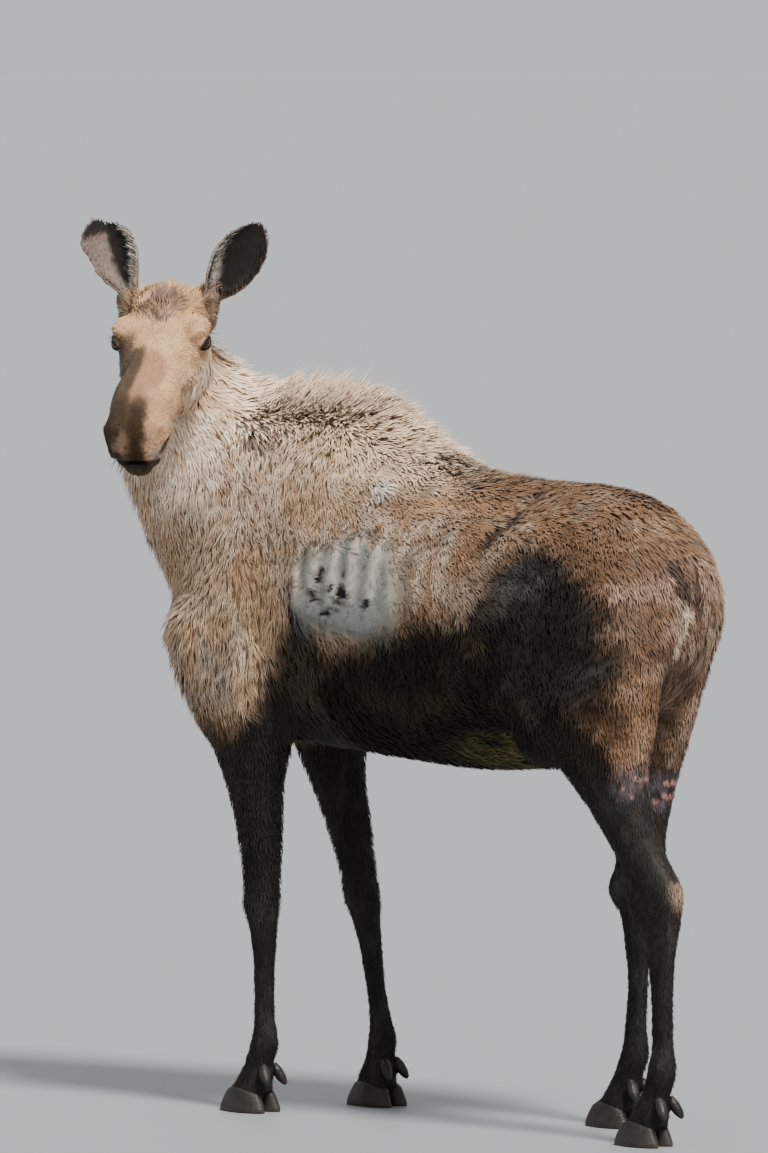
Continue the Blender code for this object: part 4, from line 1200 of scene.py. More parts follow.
def layFields(mesh, share):
    # what the coat's tree reads at each place of the skin
    places, normals = meshPlaces(mesh), meshNormals(mesh)
    even = spreadOut(mesh, normals, 3)
    even /= np.maximum(np.linalg.norm(even, axis=1), 1e-6)[:, None]
    own, local = ownPlaces(places), headPlaces(places)
    tint = coatTint(places, even, share)
    length, height, width = hairSizes(own, local, even, share)
    thick = np.ones(len(own))
    for side in (1, -1):
        distance, off, turn = eyePolar(places, side)
        thick *= 1 - (distance < 0.042) * ease(30, 20, off - openingAt(turn))
        along, across, inside, outer, _, _ = earPlaces(local, normals, side)
        mine = share["ear"] * (local[:, 0] * side > 0)
        rim = inside * ease(0.60, 0.95, np.abs(across)) * ease(0.95, 0.75, along)
        length = length + mine * rim * (0.004 + 0.016 * ease(0.2, -0.5, outer))
        height = height + 0.003 * mine * rim
        thick *= 1 - 0.80 * mine * inside * (1 - ease(0.55, 0.90, np.abs(across))) * ease(0.1, 0.25, along)
    away, _ = awayFrom(folded(local), nostrilLine)
    thick *= 1 - share["head"] * ease(1.5, 0.9, away / nostril["width"])
    thick *= 1 - 0.85 * ease(0.3, 0.8, patchShare(own))
    thick *= 1 - ease(0.35, 0.65, share["horn"])
    for side, along, soreHeight, reach in sores:
        gap = np.hypot(own[:, 1] - along, own[:, 2] - soreHeight) / (1.8 * reach)
        thick *= 1 - 0.8 * ease(1.2, 0.8, gap) * (own[:, 0] * side > 0.02)
    addField(mesh, "tint", "FLOAT_COLOR", np.hstack([np.clip(tint, 0.004, 1), np.ones((len(own), 1))]))
    addField(mesh, "lie", "FLOAT_VECTOR", coatLie(places, even, share))
    addField(mesh, "lift", "FLOAT_VECTOR", even)
    addField(mesh, "hairLength", "FLOAT", length)
    addField(mesh, "hairHeight", "FLOAT", height)
    addField(mesh, "hairWidth", "FLOAT", width)
    addField(mesh, "thickness", "FLOAT", np.clip(thick, 0, 1))
    return own, even


own, evenNormals = layFields(skin.data, share)
print("markings and lie of the coat laid")


# Which piece of the coat covers each face

coatPieces = {
    # strands and rings in a lock, locks in all, how far the strands fan out, how they rise, how thick they
    # are, and how soft their shading is where it isn't as on the body
    "face": {"strands": 1, "rings": 2, "locks": 14000, "fan": 0.0, "rise": 0.8, "thick": 0.35,
             "finish": "faceHair", "slot": "face", "soft": 0.9},
    "ears": {"strands": 1, "rings": 3, "locks": 3500, "fan": 0.0, "rise": 0.8, "thick": 0.5,
             "finish": "faceHair", "slot": "ear", "soft": 0.9},
    "mane": {"strands": 4, "rings": 3, "locks": 3150, "fan": 1.6, "rise": 0.9, "thick": 0.02,
             "finish": "maneHair", "slot": "coat"},
    "neck": {"strands": 3, "rings": 3, "locks": 4200, "fan": 0.9, "rise": 0.7, "thick": 0.05,
             "finish": "longHair", "slot": "coat"},
    "throat": {"strands": 3, "rings": 3, "locks": 2600, "fan": 0.9, "rise": 0.8, "thick": 0.04,
               "finish": "longHair", "slot": "coat"},
    "shoulder": {"strands": 3, "rings": 2, "locks": 6400, "fan": 0.8, "rise": 0.65, "thick": 0.07,
                 "finish": "longHair", "slot": "coat"},
    "back": {"strands": 3, "rings": 2, "locks": 5400, "fan": 0.8, "rise": 0.6, "thick": 0.08,
             "finish": "shortHair", "slot": "coat"},
    "flank": {"strands": 3, "rings": 2, "locks": 4200, "fan": 0.7, "rise": 0.6, "thick": 0.12,
              "finish": "darkHair", "slot": "dark_coat"},
    "rump": {"strands": 3, "rings": 2, "locks": 5500, "fan": 0.8, "rise": 0.6, "thick": 0.09,
             "finish": "shortHair", "slot": "coat"},
    "thighs": {"strands": 2, "rings": 2, "locks": 6000, "fan": 0.6, "rise": 0.6, "thick": 0.12,
               "finish": "darkHair", "slot": "dark_coat"},
    "shanks": {"strands": 2, "rings": 2, "locks": 5500, "fan": 0.5, "rise": 0.6, "thick": 0.12,
               "finish": "darkHair", "slot": "dark_coat"},
}
growth = {
    "patch": 0.003,         # how much of the unwrap one lock takes, round its root
    "height": 0.92,         # of the coat's depth, that a lock stands
    "swerve": 0.35,         # how far locks turn from the coat's lie, in radians
    "softness": 2.0,
    "spacing": 0.58,        # closest roots, for their mean distance
    "tries": 1.5,           # roots tried for each lock wanted
    "lockKinds": 4,
    "trialShare": 0.35,
}


def pieceNumbers(own, normals, share):
    names = list(coatPieces)
    regions = np.stack([share[name] for name in regionNames], 1).argmax(1)
    isA = {name: regions == i for i, name in enumerate(regionNames)}
    number = np.full(len(own), names.index("flank"))
    trunk = isA["trunk"] | isA["tail"]
    body = trunk | isA["neck"]
    for name, wanted in (
        ("back", trunk & (own[:, 2] > 1.30)),
        ("shoulder", trunk & (own[:, 1] < -0.22)),
        ("rump", (trunk & (own[:, 1] > 0.42) & (own[:, 2] > 1.05)) | isA["tail"]),
        ("thighs", isA["upperLeg"]),
        ("shanks", isA["lowerLeg"]),
        ("neck", isA["neck"]),
        ("throat", body & (fringeShare(own) > 0.5)),
        ("mane", body & (maneShare(own, normals) > 0.27)),
        ("face", isA["head"]),
        ("throat", isA["head"] & (jawShare(headPlaces(own + ownOrigin)) > 0.5)),
        ("ears", isA["ear"]),
    ):
        number[wanted] = names.index(name)
    return number


def layPieces(mesh, number):
    # marks each face with its piece, and gives the area that each piece's hair covers
    first = pulled(mesh.loops, "vertex_index", 1, np.int32)[pulled(mesh.polygons, "loop_start", 1, np.int32)]
    ofFace = number[first]
    attribute = mesh.attributes.new("piece", "INT", "FACE")
    attribute.data.foreach_set("value", ofFace.astype(np.int32))
    thick = pulled(mesh.attributes["thickness"].data, "value")
    areas = pulled(mesh.polygons, "area") * thick[first]
    return [float(areas[ofFace == i].sum()) for i in range(len(coatPieces))]


coatAreas = layPieces(skin.data, pieceNumbers(own, evenNormals, share))


# One lock: tapered strands, one unit long, about one unit high and one width wide, rooted at the origin

def strandFaces(shape, rings, tip):
    made = [shape.faces.new(rings[0])]
    for low, high in zip(rings, rings[1:]):
        for i in range(3):
            j = (i + 1) % 3
            made.append(shape.faces.new((low[i], high[i], high[j], low[j])))
    for i in range(3):
        made.append(shape.faces.new((rings[-1][i], tip, rings[-1][(i + 1) % 3])))
    return made


def lockMesh(name, facts, chance):
    shape = bmesh.new()
    layer = shape.verts.layers.float_vector.new("strand")
    steps = {2: (0.0, 0.5), 3: (0.0, 0.33, 0.70), 4: (0.0, 0.25, 0.52, 0.79)}[facts["rings"]]
    for strand in range(facts["strands"]):
        reach = 1.0 - 0.28 * chance.random() * (strand > 0)
        side = 0.0 if facts["strands"] == 1 else 2 * strand / (facts["strands"] - 1) - 1
        fan = facts["fan"] * side + 0.5 * (chance.random() - 0.5)
        start = 0.55 * side + 0.2 * (chance.random() - 0.5)
        bow = 0.9 * (chance.random() - 0.5)
        tall = 1.0 - 0.35 * chance.random() * (strand > 0)
        rings = []
        for step in steps:
            middle = start + fan * step + bow * math.sin(math.pi * step)
            half = 0.5 * (0.62 + 1.3 * step - 1.75 * step * step)
            level = tall * step ** facts["rise"] - 0.12 * (step == 0)
            corners = ((middle - half, level), (middle + half, level), (middle, level + facts["thick"]))
            ring = [shape.verts.new((reach * step, y, z)) for y, z in corners]
            for vert, across in zip(ring, (0.0, 1.0, 0.5)):
                vert[layer] = (across, step, strand)
            rings.append(ring)
        tip = shape.verts.new((reach, start + fan, tall))
        tip[layer] = (0.5, 1.0, strand)
        strandFaces(shape, rings, tip)
    bmesh.ops.triangulate(shape, faces=shape.faces)
    bmesh.ops.recalc_face_normals(shape, faces=shape.faces)
    return meshOf(name, shape)


def addNode(tree, kind, **settings):
    node = tree.nodes.new(kind)
    for name, value in settings.items():
        setattr(node, name, value)
    return node


def plug(tree, value, socket):
    # links the socket to another one, or sets its own value
    if isinstance(value, bpy.types.NodeSocket):
        tree.links.new(value, socket)
    else:
        socket.default_value = value


def feed(tree, node, **values):
    # sets or links a node's inputs by name, with spaces for underscores
    for name, value in values.items():
        label = name.replace("_", " ")
        plug(tree, value, next(s for s in node.inputs if s.enabled and s.name == label))
    return node


def fieldOf(tree, name, kind="FLOAT_VECTOR"):
    node = addNode(tree, "GeometryNodeInputNamedAttribute", data_type=kind)
    return feed(tree, node, Name=name).outputs["Attribute"]


def chanceOf(tree, low, high, seed):
    node = addNode(tree, "FunctionNodeRandomValue", data_type="FLOAT")
    feed(tree, node, Min=low, Max=high, Seed=seed)
    return next(s for s in node.outputs if s.enabled)


def mathOf(tree, operation, *values):
    node = addNode(tree, "ShaderNodeMath", operation=operation)
    for socket, value in zip(node.inputs, values):
        plug(tree, value, socket)
    return node.outputs[0]


def times(tree, *values):
    total = values[0]
    for value in values[1:]:
        total = mathOf(tree, "MULTIPLY", total, value)
    return total


def vectorOf(tree, operation, *values):
    node = addNode(tree, "ShaderNodeVectorMath", operation=operation)
    sockets = (node.inputs[0], node.inputs["Scale"] if operation == "SCALE" else node.inputs[1])
    for socket, value in zip(sockets, values):
        plug(tree, value, socket)
    return node.outputs["Value" if operation in ("LENGTH", "DOT_PRODUCT") else "Vector"]


def stored(tree, geometry, name, value, kind, domain="POINT"):
    node = addNode(tree, "GeometryNodeStoreNamedAttribute", data_type=kind, domain=domain)
    return feed(tree, node, Geometry=geometry, Name=name, Value=value).outputs[0]


def without(tree, geometry, names):
    for name in names:
        node = addNode(tree, "GeometryNodeRemoveAttribute")
        geometry = feed(tree, node, Geometry=geometry, Name=name).outputs[0]
    return geometry


def softShading(tree, geometry, softness):
    # the outer sides of each strand take the light much as the body under them does
    smooth = feed(tree, addNode(tree, "GeometryNodeSetShadeSmooth"), Geometry=geometry).outputs[0]
    facing = addNode(tree, "GeometryNodeFieldOnDomain", data_type="FLOAT_VECTOR", domain="FACE")
    facing = feed(tree, facing, Value=addNode(tree, "GeometryNodeInputNormal").outputs[0]).outputs[0]
    lift = fieldOf(tree, "lift")
    isOuter = mathOf(tree, "GREATER_THAN", vectorOf(tree, "DOT_PRODUCT", facing, lift), 0.08)
    pull = vectorOf(tree, "SCALE", lift, times(tree, isOuter, softness))
    even = vectorOf(tree, "NORMALIZE", vectorOf(tree, "ADD", facing, pull))
    turned = addNode(tree, "GeometryNodeSetMeshNormal", mode="FREE", domain="CORNER")
    return feed(tree, turned, Mesh=smooth, Custom_Normal=even).outputs[0]


coatInputs = {
    "Skin": "Geometry", "Locks": "Collection", "Piece": "Int", "Locks per m2": "Float", "Spacing": "Float",
    "Height": "Float", "Swerve": "Float", "Softness": "Float", "Patch": "Float", "Seed": "Int",
    "Material": "Material",
}


def coatTree():
    # locks spread over one piece of the skin, each laid along its lie and sized by the skin's fields
    tree = bpy.data.node_groups.new("coat", "GeometryNodeTree")
    for label, kind in coatInputs.items():
        tree.interface.new_socket(label, in_out="INPUT", socket_type="NodeSocket" + kind)
    tree.interface.new_socket("Coat", in_out="OUTPUT", socket_type="NodeSocketGeometry")
    given = addNode(tree, "NodeGroupInput").outputs
    isMine = addNode(tree, "FunctionNodeCompare", data_type="INT", operation="EQUAL")
    feed(tree, isMine, A=fieldOf(tree, "piece", "INT"), B=given["Piece"])
    roots = addNode(tree, "GeometryNodeDistributePointsOnFaces", distribute_method="POISSON")
    feed(tree, roots, Mesh=given["Skin"], Selection=isMine.outputs[0], Distance_Min=given["Spacing"],
         Density_Max=given["Locks per m2"], Density_Factor=fieldOf(tree, "thickness", "FLOAT"),
         Seed=given["Seed"])
    points = stored(tree, roots.outputs["Points"], "rootPlace", fieldOf(tree, "OFBake"), "FLOAT_VECTOR")
    points = stored(tree, points, "chance", chanceOf(tree, 0.0, 1.0, 5), "FLOAT")
    points = without(tree, points, ("OFBake", "piece", "thickness"))
    swerve = addNode(tree, "ShaderNodeVectorRotate", rotation_type="AXIS_ANGLE")
    feed(tree, swerve, Vector=fieldOf(tree, "lie"), Axis=fieldOf(tree, "lift"),
         Angle=times(tree, chanceOf(tree, -1.0, 1.0, 1), given["Swerve"]))
    turn = addNode(tree, "FunctionNodeAxesToRotation", primary_axis="Z", secondary_axis="X")
    feed(tree, turn, Primary_Axis=fieldOf(tree, "lift"), Secondary_Axis=swerve.outputs[0])
    size = addNode(tree, "ShaderNodeCombineXYZ")
    feed(tree, size, X=times(tree, fieldOf(tree, "hairLength", "FLOAT"), chanceOf(tree, 0.65, 1.2, 2)),
         Y=times(tree, fieldOf(tree, "hairWidth", "FLOAT"), chanceOf(tree, 0.7, 1.3, 3)),
         Z=times(tree, fieldOf(tree, "hairHeight", "FLOAT"), chanceOf(tree, 0.6, 1.05, 4), given["Height"]))
    locks = addNode(tree, "GeometryNodeCollectionInfo")
    feed(tree, locks, Collection=given["Locks"], Separate_Children=True, Reset_Children=True)
    placed = addNode(tree, "GeometryNodeInstanceOnPoints")
    feed(tree, placed, Points=points, Instance=locks.outputs[0], Pick_Instance=True,
         Rotation=turn.outputs[0], Scale=size.outputs[0])
    real = feed(tree, addNode(tree, "GeometryNodeRealizeInstances"), Geometry=placed.outputs[0]).outputs[0]
    offset = vectorOf(tree, "SCALE", fieldOf(tree, "strand"), given["Patch"])
    place = vectorOf(tree, "ADD", fieldOf(tree, "rootPlace"), offset)
    mapped = stored(tree, real, "OFBake", place, "FLOAT2", "CORNER")
    soft = softShading(tree, mapped, given["Softness"])
    soft = without(tree, soft, ("rootPlace", "lie", "lift", "hairLength", "hairHeight", "hairWidth"))
    finished = addNode(tree, "GeometryNodeSetMaterial")
    feed(tree, finished, Geometry=soft, Material=given["Material"])
    tree.links.new(finished.outputs[0], addNode(tree, "NodeGroupOutput").inputs[0])
    return tree


def setInputs(modifier, **values):
    # a modifier's inputs are set by identifier, before the object is first evaluated
    known = {item.name: item.identifier for item in modifier.node_group.interface.items_tree}
    for name, value in values.items():
        modifier[known[name.replace("_", " ")]] = value


def mixColour(tree, kind, share, one, other):
    node = addNode(tree, "ShaderNodeMix", data_type="RGBA", blend_type=kind)
    for socket, value in ((node.inputs[0], share), (node.inputs[6], one), (node.inputs[7], other)):
        plug(tree, value, socket)
    return node.outputs[2]


def multiplied(tree, colour, *others):
    for share, other in others:
        colour = mixColour(tree, "MULTIPLY", share, colour, other)
    return colour


def rampOf(tree, value, stops):
    node = addNode(tree, "ShaderNodeValToRGB")
    tree.links.new(value, node.inputs[0])
    ramp = node.color_ramp
    while len(ramp.elements) < len(stops):
        ramp.elements.new(0.5)
    for element, (place, shade) in zip(ramp.elements, stops):
        element.position = place
        element.color = (shade, shade, shade, 1)
    return node.outputs[0]


def noiseOf(tree, vector, scale, detail, roughness=0.55):
    node = addNode(tree, "ShaderNodeTexNoise")
    return feed(tree, node, Vector=vector, Scale=scale, Detail=detail, Roughness=roughness).outputs[0]


def attributeOf(tree, name, output):
    return addNode(tree, "ShaderNodeAttribute", attribute_name=name).outputs[output]


def placeOf(tree):
    return addNode(tree, "ShaderNodeTexCoord").outputs["Object"]


def stretched(tree, vector, scale):
    return feed(tree, addNode(tree, "ShaderNodeMapping"), Vector=vector, Scale=scale).outputs[0]


def axisOf(tree, vector, axis):
    node = addNode(tree, "ShaderNodeSeparateXYZ")
    plug(tree, vector, node.inputs[0])
    return node.outputs[axis]


def bumpOf(tree, height, strength, distance):
    node = addNode(tree, "ShaderNodeBump")
    return feed(tree, node, Strength=strength, Distance=distance, Height=height).outputs[0]


def newMaterial(name):
    material = bpy.data.materials.new(name)
    material.use_nodes = True
    return material, material.node_tree, material.node_tree.nodes["Principled BSDF"]


def hairMaterial(name, facts):
    # darker at the root as painted shade among the hairs, paler at the tip, streaked along each strand, with
    # a little shine
    material, tree, shader = newMaterial(name)
    strand = attributeOf(tree, "strand", "Vector")
    along = rampOf(tree, axisOf(tree, strand, "Y"), facts["alongStrand"])
    chance = rampOf(tree, attributeOf(tree, "chance", "Fac"), facts["lockToLock"])
    moved = vectorOf(tree, "ADD", stretched(tree, strand, (facts["hairsAcross"], 1.3, 3.7)),
                     stretched(tree, placeOf(tree), (14, 14, 14)))
    streak = noiseOf(tree, moved, 1.0, 2)
    streaked = rampOf(tree, streak, ((0.30, 0.62), (0.70, 1.30)))
    colour = multiplied(tree, attributeOf(tree, "tint", "Color"), (1.0, along), (1.0, chance),
                        (facts["streak"], streaked))
    rough = rampOf(tree, streak, ((0.2, facts["roughness"] - 0.08), (0.8, facts["roughness"] + 0.08)))
    feed(tree, shader, Base_Color=colour, Roughness=rough, Normal=bumpOf(tree, streak, 0.5, 0.0006),
         Sheen_Weight=facts["sheen"], Sheen_Roughness=0.5, Specular_IOR_Level=facts["shine"])
    return material


hairFinishes = {
    "maneHair": {"alongStrand": ((0.0, 0.92), (0.35, 1.02), (1.0, 1.12)),
                 "lockToLock": ((0.0, 0.86), (1.0, 1.14)),
                 "hairsAcross": 5.0, "streak": 0.6, "roughness": 0.74, "sheen": 0.10, "shine": 0.22},
    "longHair": {"alongStrand": ((0.0, 0.84), (0.35, 0.98), (1.0, 1.12)),
                 "lockToLock": ((0.0, 0.80), (1.0, 1.20)),
                 "hairsAcross": 5.0, "streak": 0.75, "roughness": 0.74, "sheen": 0.08, "shine": 0.24},
    "shortHair": {"alongStrand": ((0.0, 0.74), (0.4, 0.95), (1.0, 1.12)),
                 "lockToLock": ((0.0, 0.76), (1.0, 1.24)),
                  "hairsAcross": 4.0, "streak": 0.65, "roughness": 0.70, "sheen": 0.05, "shine": 0.24},
    "darkHair": {"alongStrand": ((0.0, 0.60), (0.4, 0.92), (1.0, 1.12)),
                 "lockToLock": ((0.0, 0.72), (1.0, 1.30)),
                 "hairsAcross": 4.0, "streak": 0.65, "roughness": 0.66, "sheen": 0.0, "shine": 0.16},
    "faceHair": {"alongStrand": ((0.0, 0.80), (0.5, 0.98), (1.0, 1.10)),
                 "lockToLock": ((0.0, 0.72), (1.0, 1.20)),
                 "hairsAcross": 3.0, "streak": 0.5, "roughness": 0.70, "sheen": 0.05, "shine": 0.20},
}


def skinMaterial():
    # the same markings as the hair over it, mottled, with the grain of short flat fur
    material, tree, shader = newMaterial("skin")
    place = placeOf(tree)
    coarse = rampOf(tree, noiseOf(tree, place, 45, 3), ((0.3, 0.80), (0.7, 1.18)))
    grain = noiseOf(tree, stretched(tree, place, (1.0, 0.55, 0.28)), 420, 3, 0.7)
    fine = rampOf(tree, grain, ((0.3, 0.72), (0.7, 1.22)))
    colour = multiplied(tree, attributeOf(tree, "tint", "Color"), (0.8, coarse), (0.7, fine))
    feed(tree, shader, Base_Color=colour, Roughness=rampOf(tree, grain, ((0.2, 0.58), (0.8, 0.85))),
         Normal=bumpOf(tree, grain, 0.6, 0.0012), Specular_IOR_Level=0.16)
    return material


coatMaterials = {name: hairMaterial(name, facts) for name, facts in hairFinishes.items()}


def growCoat():
    # one mesh for each piece of the coat, and how many triangles they have in all
    tree = coatTree()
    source = sceneObject("coatSource", skin.data)
    grown = 0
    for number, (name, facts) in enumerate(coatPieces.items()):
        chance = np.random.default_rng(40 + number)
        bunch = bpy.data.collections.new(name + "Locks")
        for kind in range(growth["lockKinds"]):
            lock = lockMesh(f"{name}Lock{kind}", facts, chance)
            bunch.objects.link(bpy.data.objects.new(lock.name, lock))
        count = facts["locks"] * 1.0
        perArea = count / max(coatAreas[number], 0.01)
        modifier = source.modifiers.new("coat", "NODES")
        modifier.node_group = tree
        setInputs(modifier, Locks=bunch, Piece=number, Locks_per_m2=perArea * growth["tries"],
                  Spacing=growth["spacing"] / math.sqrt(perArea), Height=growth["height"],
                  Swerve=growth["swerve"], Softness=facts.get("soft", growth["softness"]),
                  Patch=growth["patch"], Seed=number, Material=coatMaterials[facts["finish"]])
        graph = bpy.context.evaluated_depsgraph_get()
        mesh = bpy.data.meshes.new_from_object(source.evaluated_get(graph))
        source.modifiers.clear()
        piece = sceneObject(name + "Coat", mesh)
        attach(piece, "root")
        for lock in list(bunch.objects):
            bpy.data.objects.remove(lock)
        bpy.data.collections.remove(bunch)
        grown += len(mesh.polygons)
        print(f"  {name}: {len(mesh.polygons)} triangles over {coatAreas[number]:.2f} m2")
    bpy.data.objects.remove(source)
    return grown


print("coat grown:", growCoat(), "triangles")
skin.data.materials.append(skinMaterial())
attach(skin, "root")
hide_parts(*fleshNodes, *earNodes)


# Eyes: a dark brown iris and a level pupil under a wet, slightly bulging front

def eyeMaterial():
    material, tree, shader = newMaterial("eyeball")
    mark = attributeOf(tree, "eyeMark", "Vector")
    iris = vectorOf(tree, "LENGTH", stretched(tree, mark, (1.0, 1.0, 0.0)))
    pupil = vectorOf(tree, "LENGTH", stretched(tree, mark, (1.0, 2.3, 0.0)))
    fibres = noiseOf(tree, stretched(tree, mark, (22, 22, 6)), 1.0, 3)
    brown = mixColour(tree, "MIX", rampOf(tree, fibres, ((0.35, 0.0), (0.70, 1.0))),
                      (0.010, 0.005, 0.003, 1), (0.034, 0.016, 0.008, 1))
    colour = mixColour(tree, "MIX", rampOf(tree, pupil, ((0.36, 0.0), (0.42, 1.0))),
                       (0.002, 0.002, 0.003, 1), brown)
    colour = mixColour(tree, "MIX", rampOf(tree, iris, ((0.60, 0.0), (0.70, 1.0))),
                       colour, (0.016, 0.010, 0.009, 1))
    feed(tree, shader, Base_Color=colour, Roughness=rampOf(tree, fibres, ((0.2, 0.06), (0.8, 0.14))),
         Normal=bumpOf(tree, fibres, 0.05, 0.0005), Specular_IOR_Level=0.25, Coat_Weight=0.55,
         Coat_Roughness=0.03)
    return material


def makeEye(node, side, material):
    centre, gaze, long, high = eyeAxes(side)
    radius, rows, steps = headFacts["eyeRadius"], 22, 40
    shape = bmesh.new()
    layer = shape.verts.layers.float_vector.new("eyeMark")
    rings = []
    for row in range(1, rows):
        off = math.pi * row / rows
        reach = radius * (1 + 0.05 * float(ease(0.62, 0.0, off)))
        ring = []
        for step in range(steps):
            turn = 2 * math.pi * step / steps
            across, up = math.sin(off) * math.cos(turn), math.sin(off) * math.sin(turn)
            vert = shape.verts.new(centre + (gaze * math.cos(off) + long * across + high * up) * reach)
            vert[layer] = (across, up, math.cos(off))
            ring.append(vert)
        rings.append(ring)
    for ring, other in zip(rings, rings[1:]):
        for step in range(steps):
            after = (step + 1) % steps
            shape.faces.new((ring[step], other[step], other[after], ring[after]))
    for ring, end in ((rings[0], 1.05), (rings[-1], -1.0)):
        tip = shape.verts.new(centre + gaze * radius * end)
        tip[layer] = (0, 0, end)
        for step in range(steps):
            shape.faces.new((ring[step], ring[(step + 1) % steps], tip))
    bmesh.ops.recalc_face_normals(shape, faces=shape.faces)
    mesh = meshOf(node + "Ball", shape)
    shadeSmooth(mesh)
    mesh.materials.append(material)
    ball = sceneObject(node + "Ball", mesh)
    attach(ball, "root")
    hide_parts(node)


eyeball = eyeMaterial()
makeEye("left_eye", 1, eyeball)
makeEye("right_eye", -1, eyeball)


# Eyelashes on the upper lids, dark and a little drooping

lashFacts = {
    "count": 30,            # to each eye
    "length": 0.014,
    "width": 0.0006,
    "from": 15, "to": 158,  # degrees round the opening
    "tint": (0.012, 0.009, 0.008, 1.0),
}


def makeLashes(material):
    chance = np.random.default_rng(77)
    shape = bmesh.new()
    strand = shape.verts.layers.float_vector.new("strand")
    lashFaces = []
    roots = []
    for side in (1, -1):
        centre, gaze, long, high = eyeAxes(side)
        for number in range(lashFacts["count"]):
            ends = (lashFacts["from"], lashFacts["to"])
            turn = math.radians(np.interp(number, (0, lashFacts["count"] - 1), ends))
            turn += 0.06 * (chance.random() - 0.5)
            sideways = long * math.cos(turn) + high * math.sin(turn)
            off = math.radians(float(openingAt(turn)) + 0.5)
            reach = headFacts["eyeRadius"] + 0.0022
            root = centre + (gaze * math.cos(off) + sideways * math.sin(off)) * reach
            out = gaze * 0.9 + sideways * 0.45 + long * 0.25 * (chance.random() - 0.3)
            out /= np.linalg.norm(out)
            length = lashFacts["length"] * (0.7 + 0.5 * chance.random()) * (0.6 + 0.4 * math.sin(turn))
            across = np.cross(out, high)
            across /= np.linalg.norm(across)
            rings = []
            for step in (0.0, 0.35, 0.7):
                middle = root + out * length * step - high * length * 0.45 * step * step
                half = lashFacts["width"] * (1 - 0.75 * step) / 2
                ring = [shape.verts.new(middle + across * half * x + high * half * y)
                        for x, y in ((-1, -0.5), (1, -0.5), (0, 0.9))]
                for vert, x in zip(ring, (0.0, 1.0, 0.5)):
                    vert[strand] = (x, step, number)
                rings.append(ring)
            tip = shape.verts.new(root + out * length - high * length * 0.45)
            tip[strand] = (0.5, 1.0, number)
            made = strandFaces(shape, rings, tip)
            lashFaces.extend(made)
            roots.extend([root] * len(made))
    bmesh.ops.recalc_face_normals(shape, faces=shape.faces)
    unwrap = shape.loops.layers.uv.new("OFBake")
    skinUnwrap = skin.data.uv_layers["OFBake"].data
    tree = treeOf(skin.data)
    for face, root in zip(lashFaces, roots):
        nearest = skin.data.polygons[tree.find_nearest(Vector(root))[2]]
        at = skinUnwrap[nearest.loop_start].uv
        for loop in face.loops:
            along = loop.vert[strand]
            loop[unwrap].uv = (at[0] + along[0] * growth["patch"], at[1] + along[1] * growth["patch"])
    mesh = meshOf("lashes", shape)
    addField(mesh, "tint", "FLOAT_COLOR", np.tile(np.array(lashFacts["tint"]), (len(mesh.vertices), 1)))
    addField(mesh, "chance", "FLOAT", np.full(len(mesh.vertices), 0.5))
    mesh.materials.append(material)
    lashes = sceneObject("lashes", mesh)
    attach(lashes, "root")


makeLashes(coatMaterials["darkHair"])
print("eyes and lashes made")


# Hooves and dewclaws: dark horn with growth rings, rounded and drawn out towards the toe

hoofFacts = {
    "voxel": 0.0035,
    "smoothing": 7,
    "toeNarrowing": 0.34,
    "toeDrop": 0.26,
    "ringSpacing": 0.0075,
}


def hornMaterial():
    # dark horn with rings and fibres, dusty at the ground
    material, tree, shader = newMaterial("horn")
    place = placeOf(tree)
    fibres = noiseOf(tree, stretched(tree, place, (260, 260, 18)), 1.0, 3)
    blotches = noiseOf(tree, place, 32, 4)
    rings = addNode(tree, "ShaderNodeTexWave", bands_direction="Z", wave_profile="SIN")
    feed(tree, rings, Vector=place, Scale=0.314 / hoofFacts["ringSpacing"], Distortion=7.0, Detail=3.0,
         Detail_Scale=1.4)
    rings = rings.outputs["Fac"]
    low = rampOf(tree, axisOf(tree, place, "Z"), ((0.0, 1.0), (0.05, 0.0)))
    colour = mixColour(tree, "MIX", rampOf(tree, blotches, ((0.35, 0.0), (0.70, 1.0))),
                       (0.008, 0.007, 0.006, 1), (0.026, 0.021, 0.017, 1))
    colour = mixColour(tree, "MIX", times(tree, low, 0.45), colour, (0.060, 0.047, 0.036, 1))
    colour = multiplied(tree, colour, (0.35, rampOf(tree, fibres, ((0.3, 0.55), (0.7, 1.35)))),
                        (0.20, rampOf(tree, rings, ((0.0, 0.6), (1.0, 1.2)))))
    height = mathOf(tree, "ADD", times(tree, rings, 0.35), times(tree, fibres, 0.5))
    feed(tree, shader, Base_Color=colour, Roughness=rampOf(tree, blotches, ((0.3, 0.38), (0.7, 0.62))),
         Normal=bumpOf(tree, height, 0.55, 0.0010), Specular_IOR_Level=0.35)
    return material


def hornPiece(name, nodes, isHoof, material):
    # each hoof narrows and drops from where it is widest to its toe
    shape = bmesh.new()
    for node in nodes:
        one, before = melted(node + "Horn", [node], hoofFacts["voxel"], hoofFacts["smoothing"], 0.0)
        keepGirth(one, before)
        places = meshPlaces(one.data)
        if isHoof:
            middle = places.mean(0)
            flat = (places - middle)[:, :2]
            way = np.linalg.eigh(flat.T @ flat)[1][:, 1]
            way *= -np.sign(way[1])
            side = np.array((way[1], -way[0]))
            along = flat @ way
            toe = ease(0.35, 1.0, (along - along.min()) / (along.max() - along.min()))
            high = places[:, 2] / places[:, 2].max()
            places[:, :2] -= side * (flat @ side * toe * hoofFacts["toeNarrowing"])[:, None]
            places[:, 2] *= 1 - hoofFacts["toeDrop"] * toe * high
            setPlaces(one.data, places)
        shape.from_mesh(one.data)
        bpy.data.objects.remove(one)
    mesh = meshOf(name, shape)
    shadeSmooth(mesh)
    mesh.materials.append(material)
    piece = sceneObject(name, mesh)
    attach(piece, "root")
    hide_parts(*nodes)


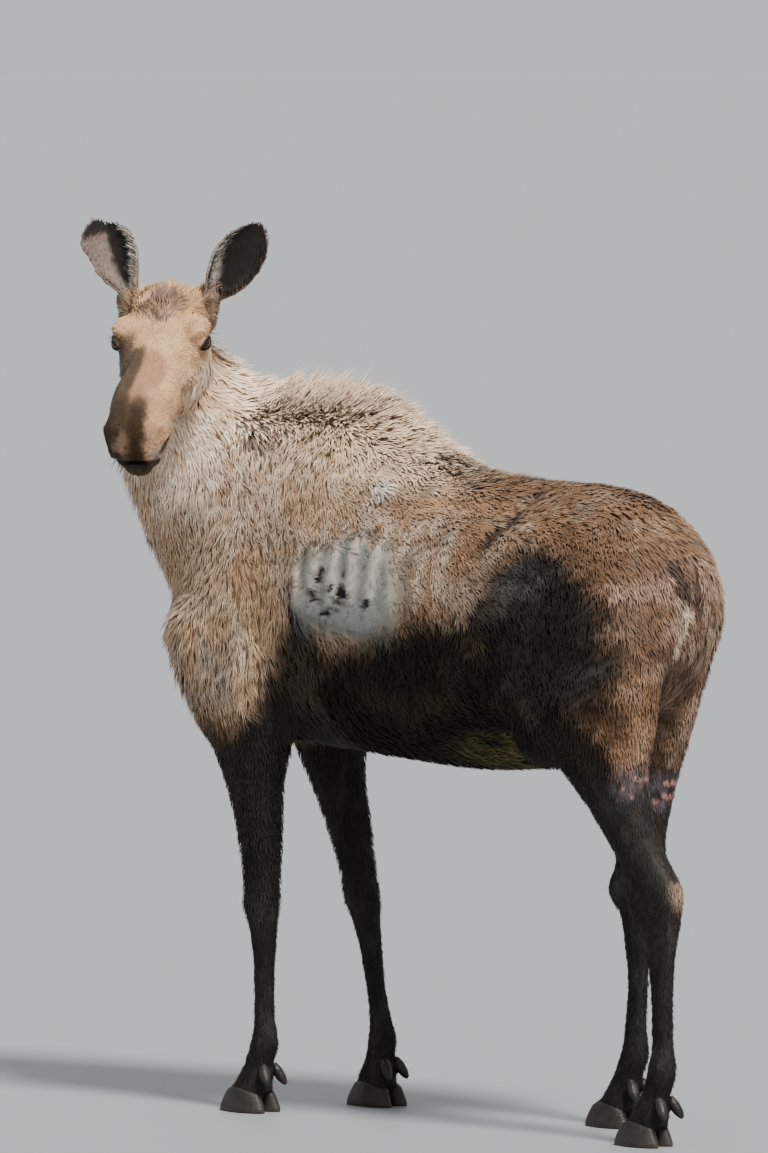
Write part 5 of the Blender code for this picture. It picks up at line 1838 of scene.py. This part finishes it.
horn = hornMaterial()
hornPiece("hooves", [n for n in sorted(frame["nodes"]) if "_claw_" in n], True, horn)
hornPiece("dewclaws", [n for n in sorted(frame["nodes"]) if "dewclaw" in n], False, horn)
print("hooves made")


# Floor, light and camera. A light or camera lies round from the front (-Y) towards the animal's left (+X),
# and up from the horizon, in degrees.

stageFacts = {
    "floorHalf": 900.0,
    "floorGrey": (0.296, 0.308, 0.322, 1),
    "skyColour": (0.96, 0.98, 1.0, 1),
    "skyStrength": 0.68,
}
sunFacts = {
    "way": (163, 52),
    "softness": 12,         # how wide the sun is, in degrees
    "strength": 6.2,
    "colour": (1.0, 0.965, 0.92),
}
cameraFacts = {
    "way": (130.0, 3.0),
    "distance": 25.0,
    "fieldHeight": 2.885,   # what the frame takes in at the animal, in metres
    "aim": (0.1036, -0.1234, 1.366),    # in the animal's own axes
}


def wayTo(azimuth, height):
    a, e = math.radians(azimuth), math.radians(height)
    return Vector((math.sin(a) * math.cos(e), -math.cos(a) * math.cos(e), math.sin(e)))


def turnFrom(obj, way):
    obj.rotation_euler = (-way).to_track_quat("-Z", "Y").to_euler()


def buildStage():
    half = stageFacts["floorHalf"]
    floorMesh = bpy.data.meshes.new("floor")
    corners = [(-half, -half, 0), (half, -half, 0), (half, half, 0), (-half, half, 0)]
    floorMesh.from_pydata(corners, [], [(0, 1, 2, 3)])
    floor = sceneObject("floor", floorMesh)
    material, tree, shader = newMaterial("floor")
    feed(tree, shader, Base_Color=stageFacts["floorGrey"])
    floorMesh.materials.append(material)
    world = bpy.data.worlds.new("studio")
    bpy.context.scene.world = world
    world.use_nodes = True
    feed(world.node_tree, world.node_tree.nodes["Background"], Color=stageFacts["skyColour"],
         Strength=stageFacts["skyStrength"])


def addSun():
    light = bpy.data.lights.new("key", "SUN")
    light.angle = math.radians(sunFacts["softness"])
    light.energy = sunFacts["strength"]
    light.color = sunFacts["colour"]
    lamp = sceneObject("key", light)
    lamp.location = wayTo(*sunFacts["way"]) * 10
    turnFrom(lamp, wayTo(*sunFacts["way"]))


def buildCamera():
    back = wayTo(*cameraFacts["way"])
    lens = bpy.data.cameras.new("camera")
    lens.sensor_width = 36
    lens.lens = 36 * cameraFacts["distance"] / cameraFacts["fieldHeight"]
    lens.clip_end = 2000
    camera = sceneObject("camera", lens)
    camera.location = Vector(cameraFacts["aim"]) + Vector(ownOrigin) + back * cameraFacts["distance"]
    turnFrom(camera, back)
    bpy.context.scene.camera = camera


buildStage()
addSun()
buildCamera()
print("stage built")
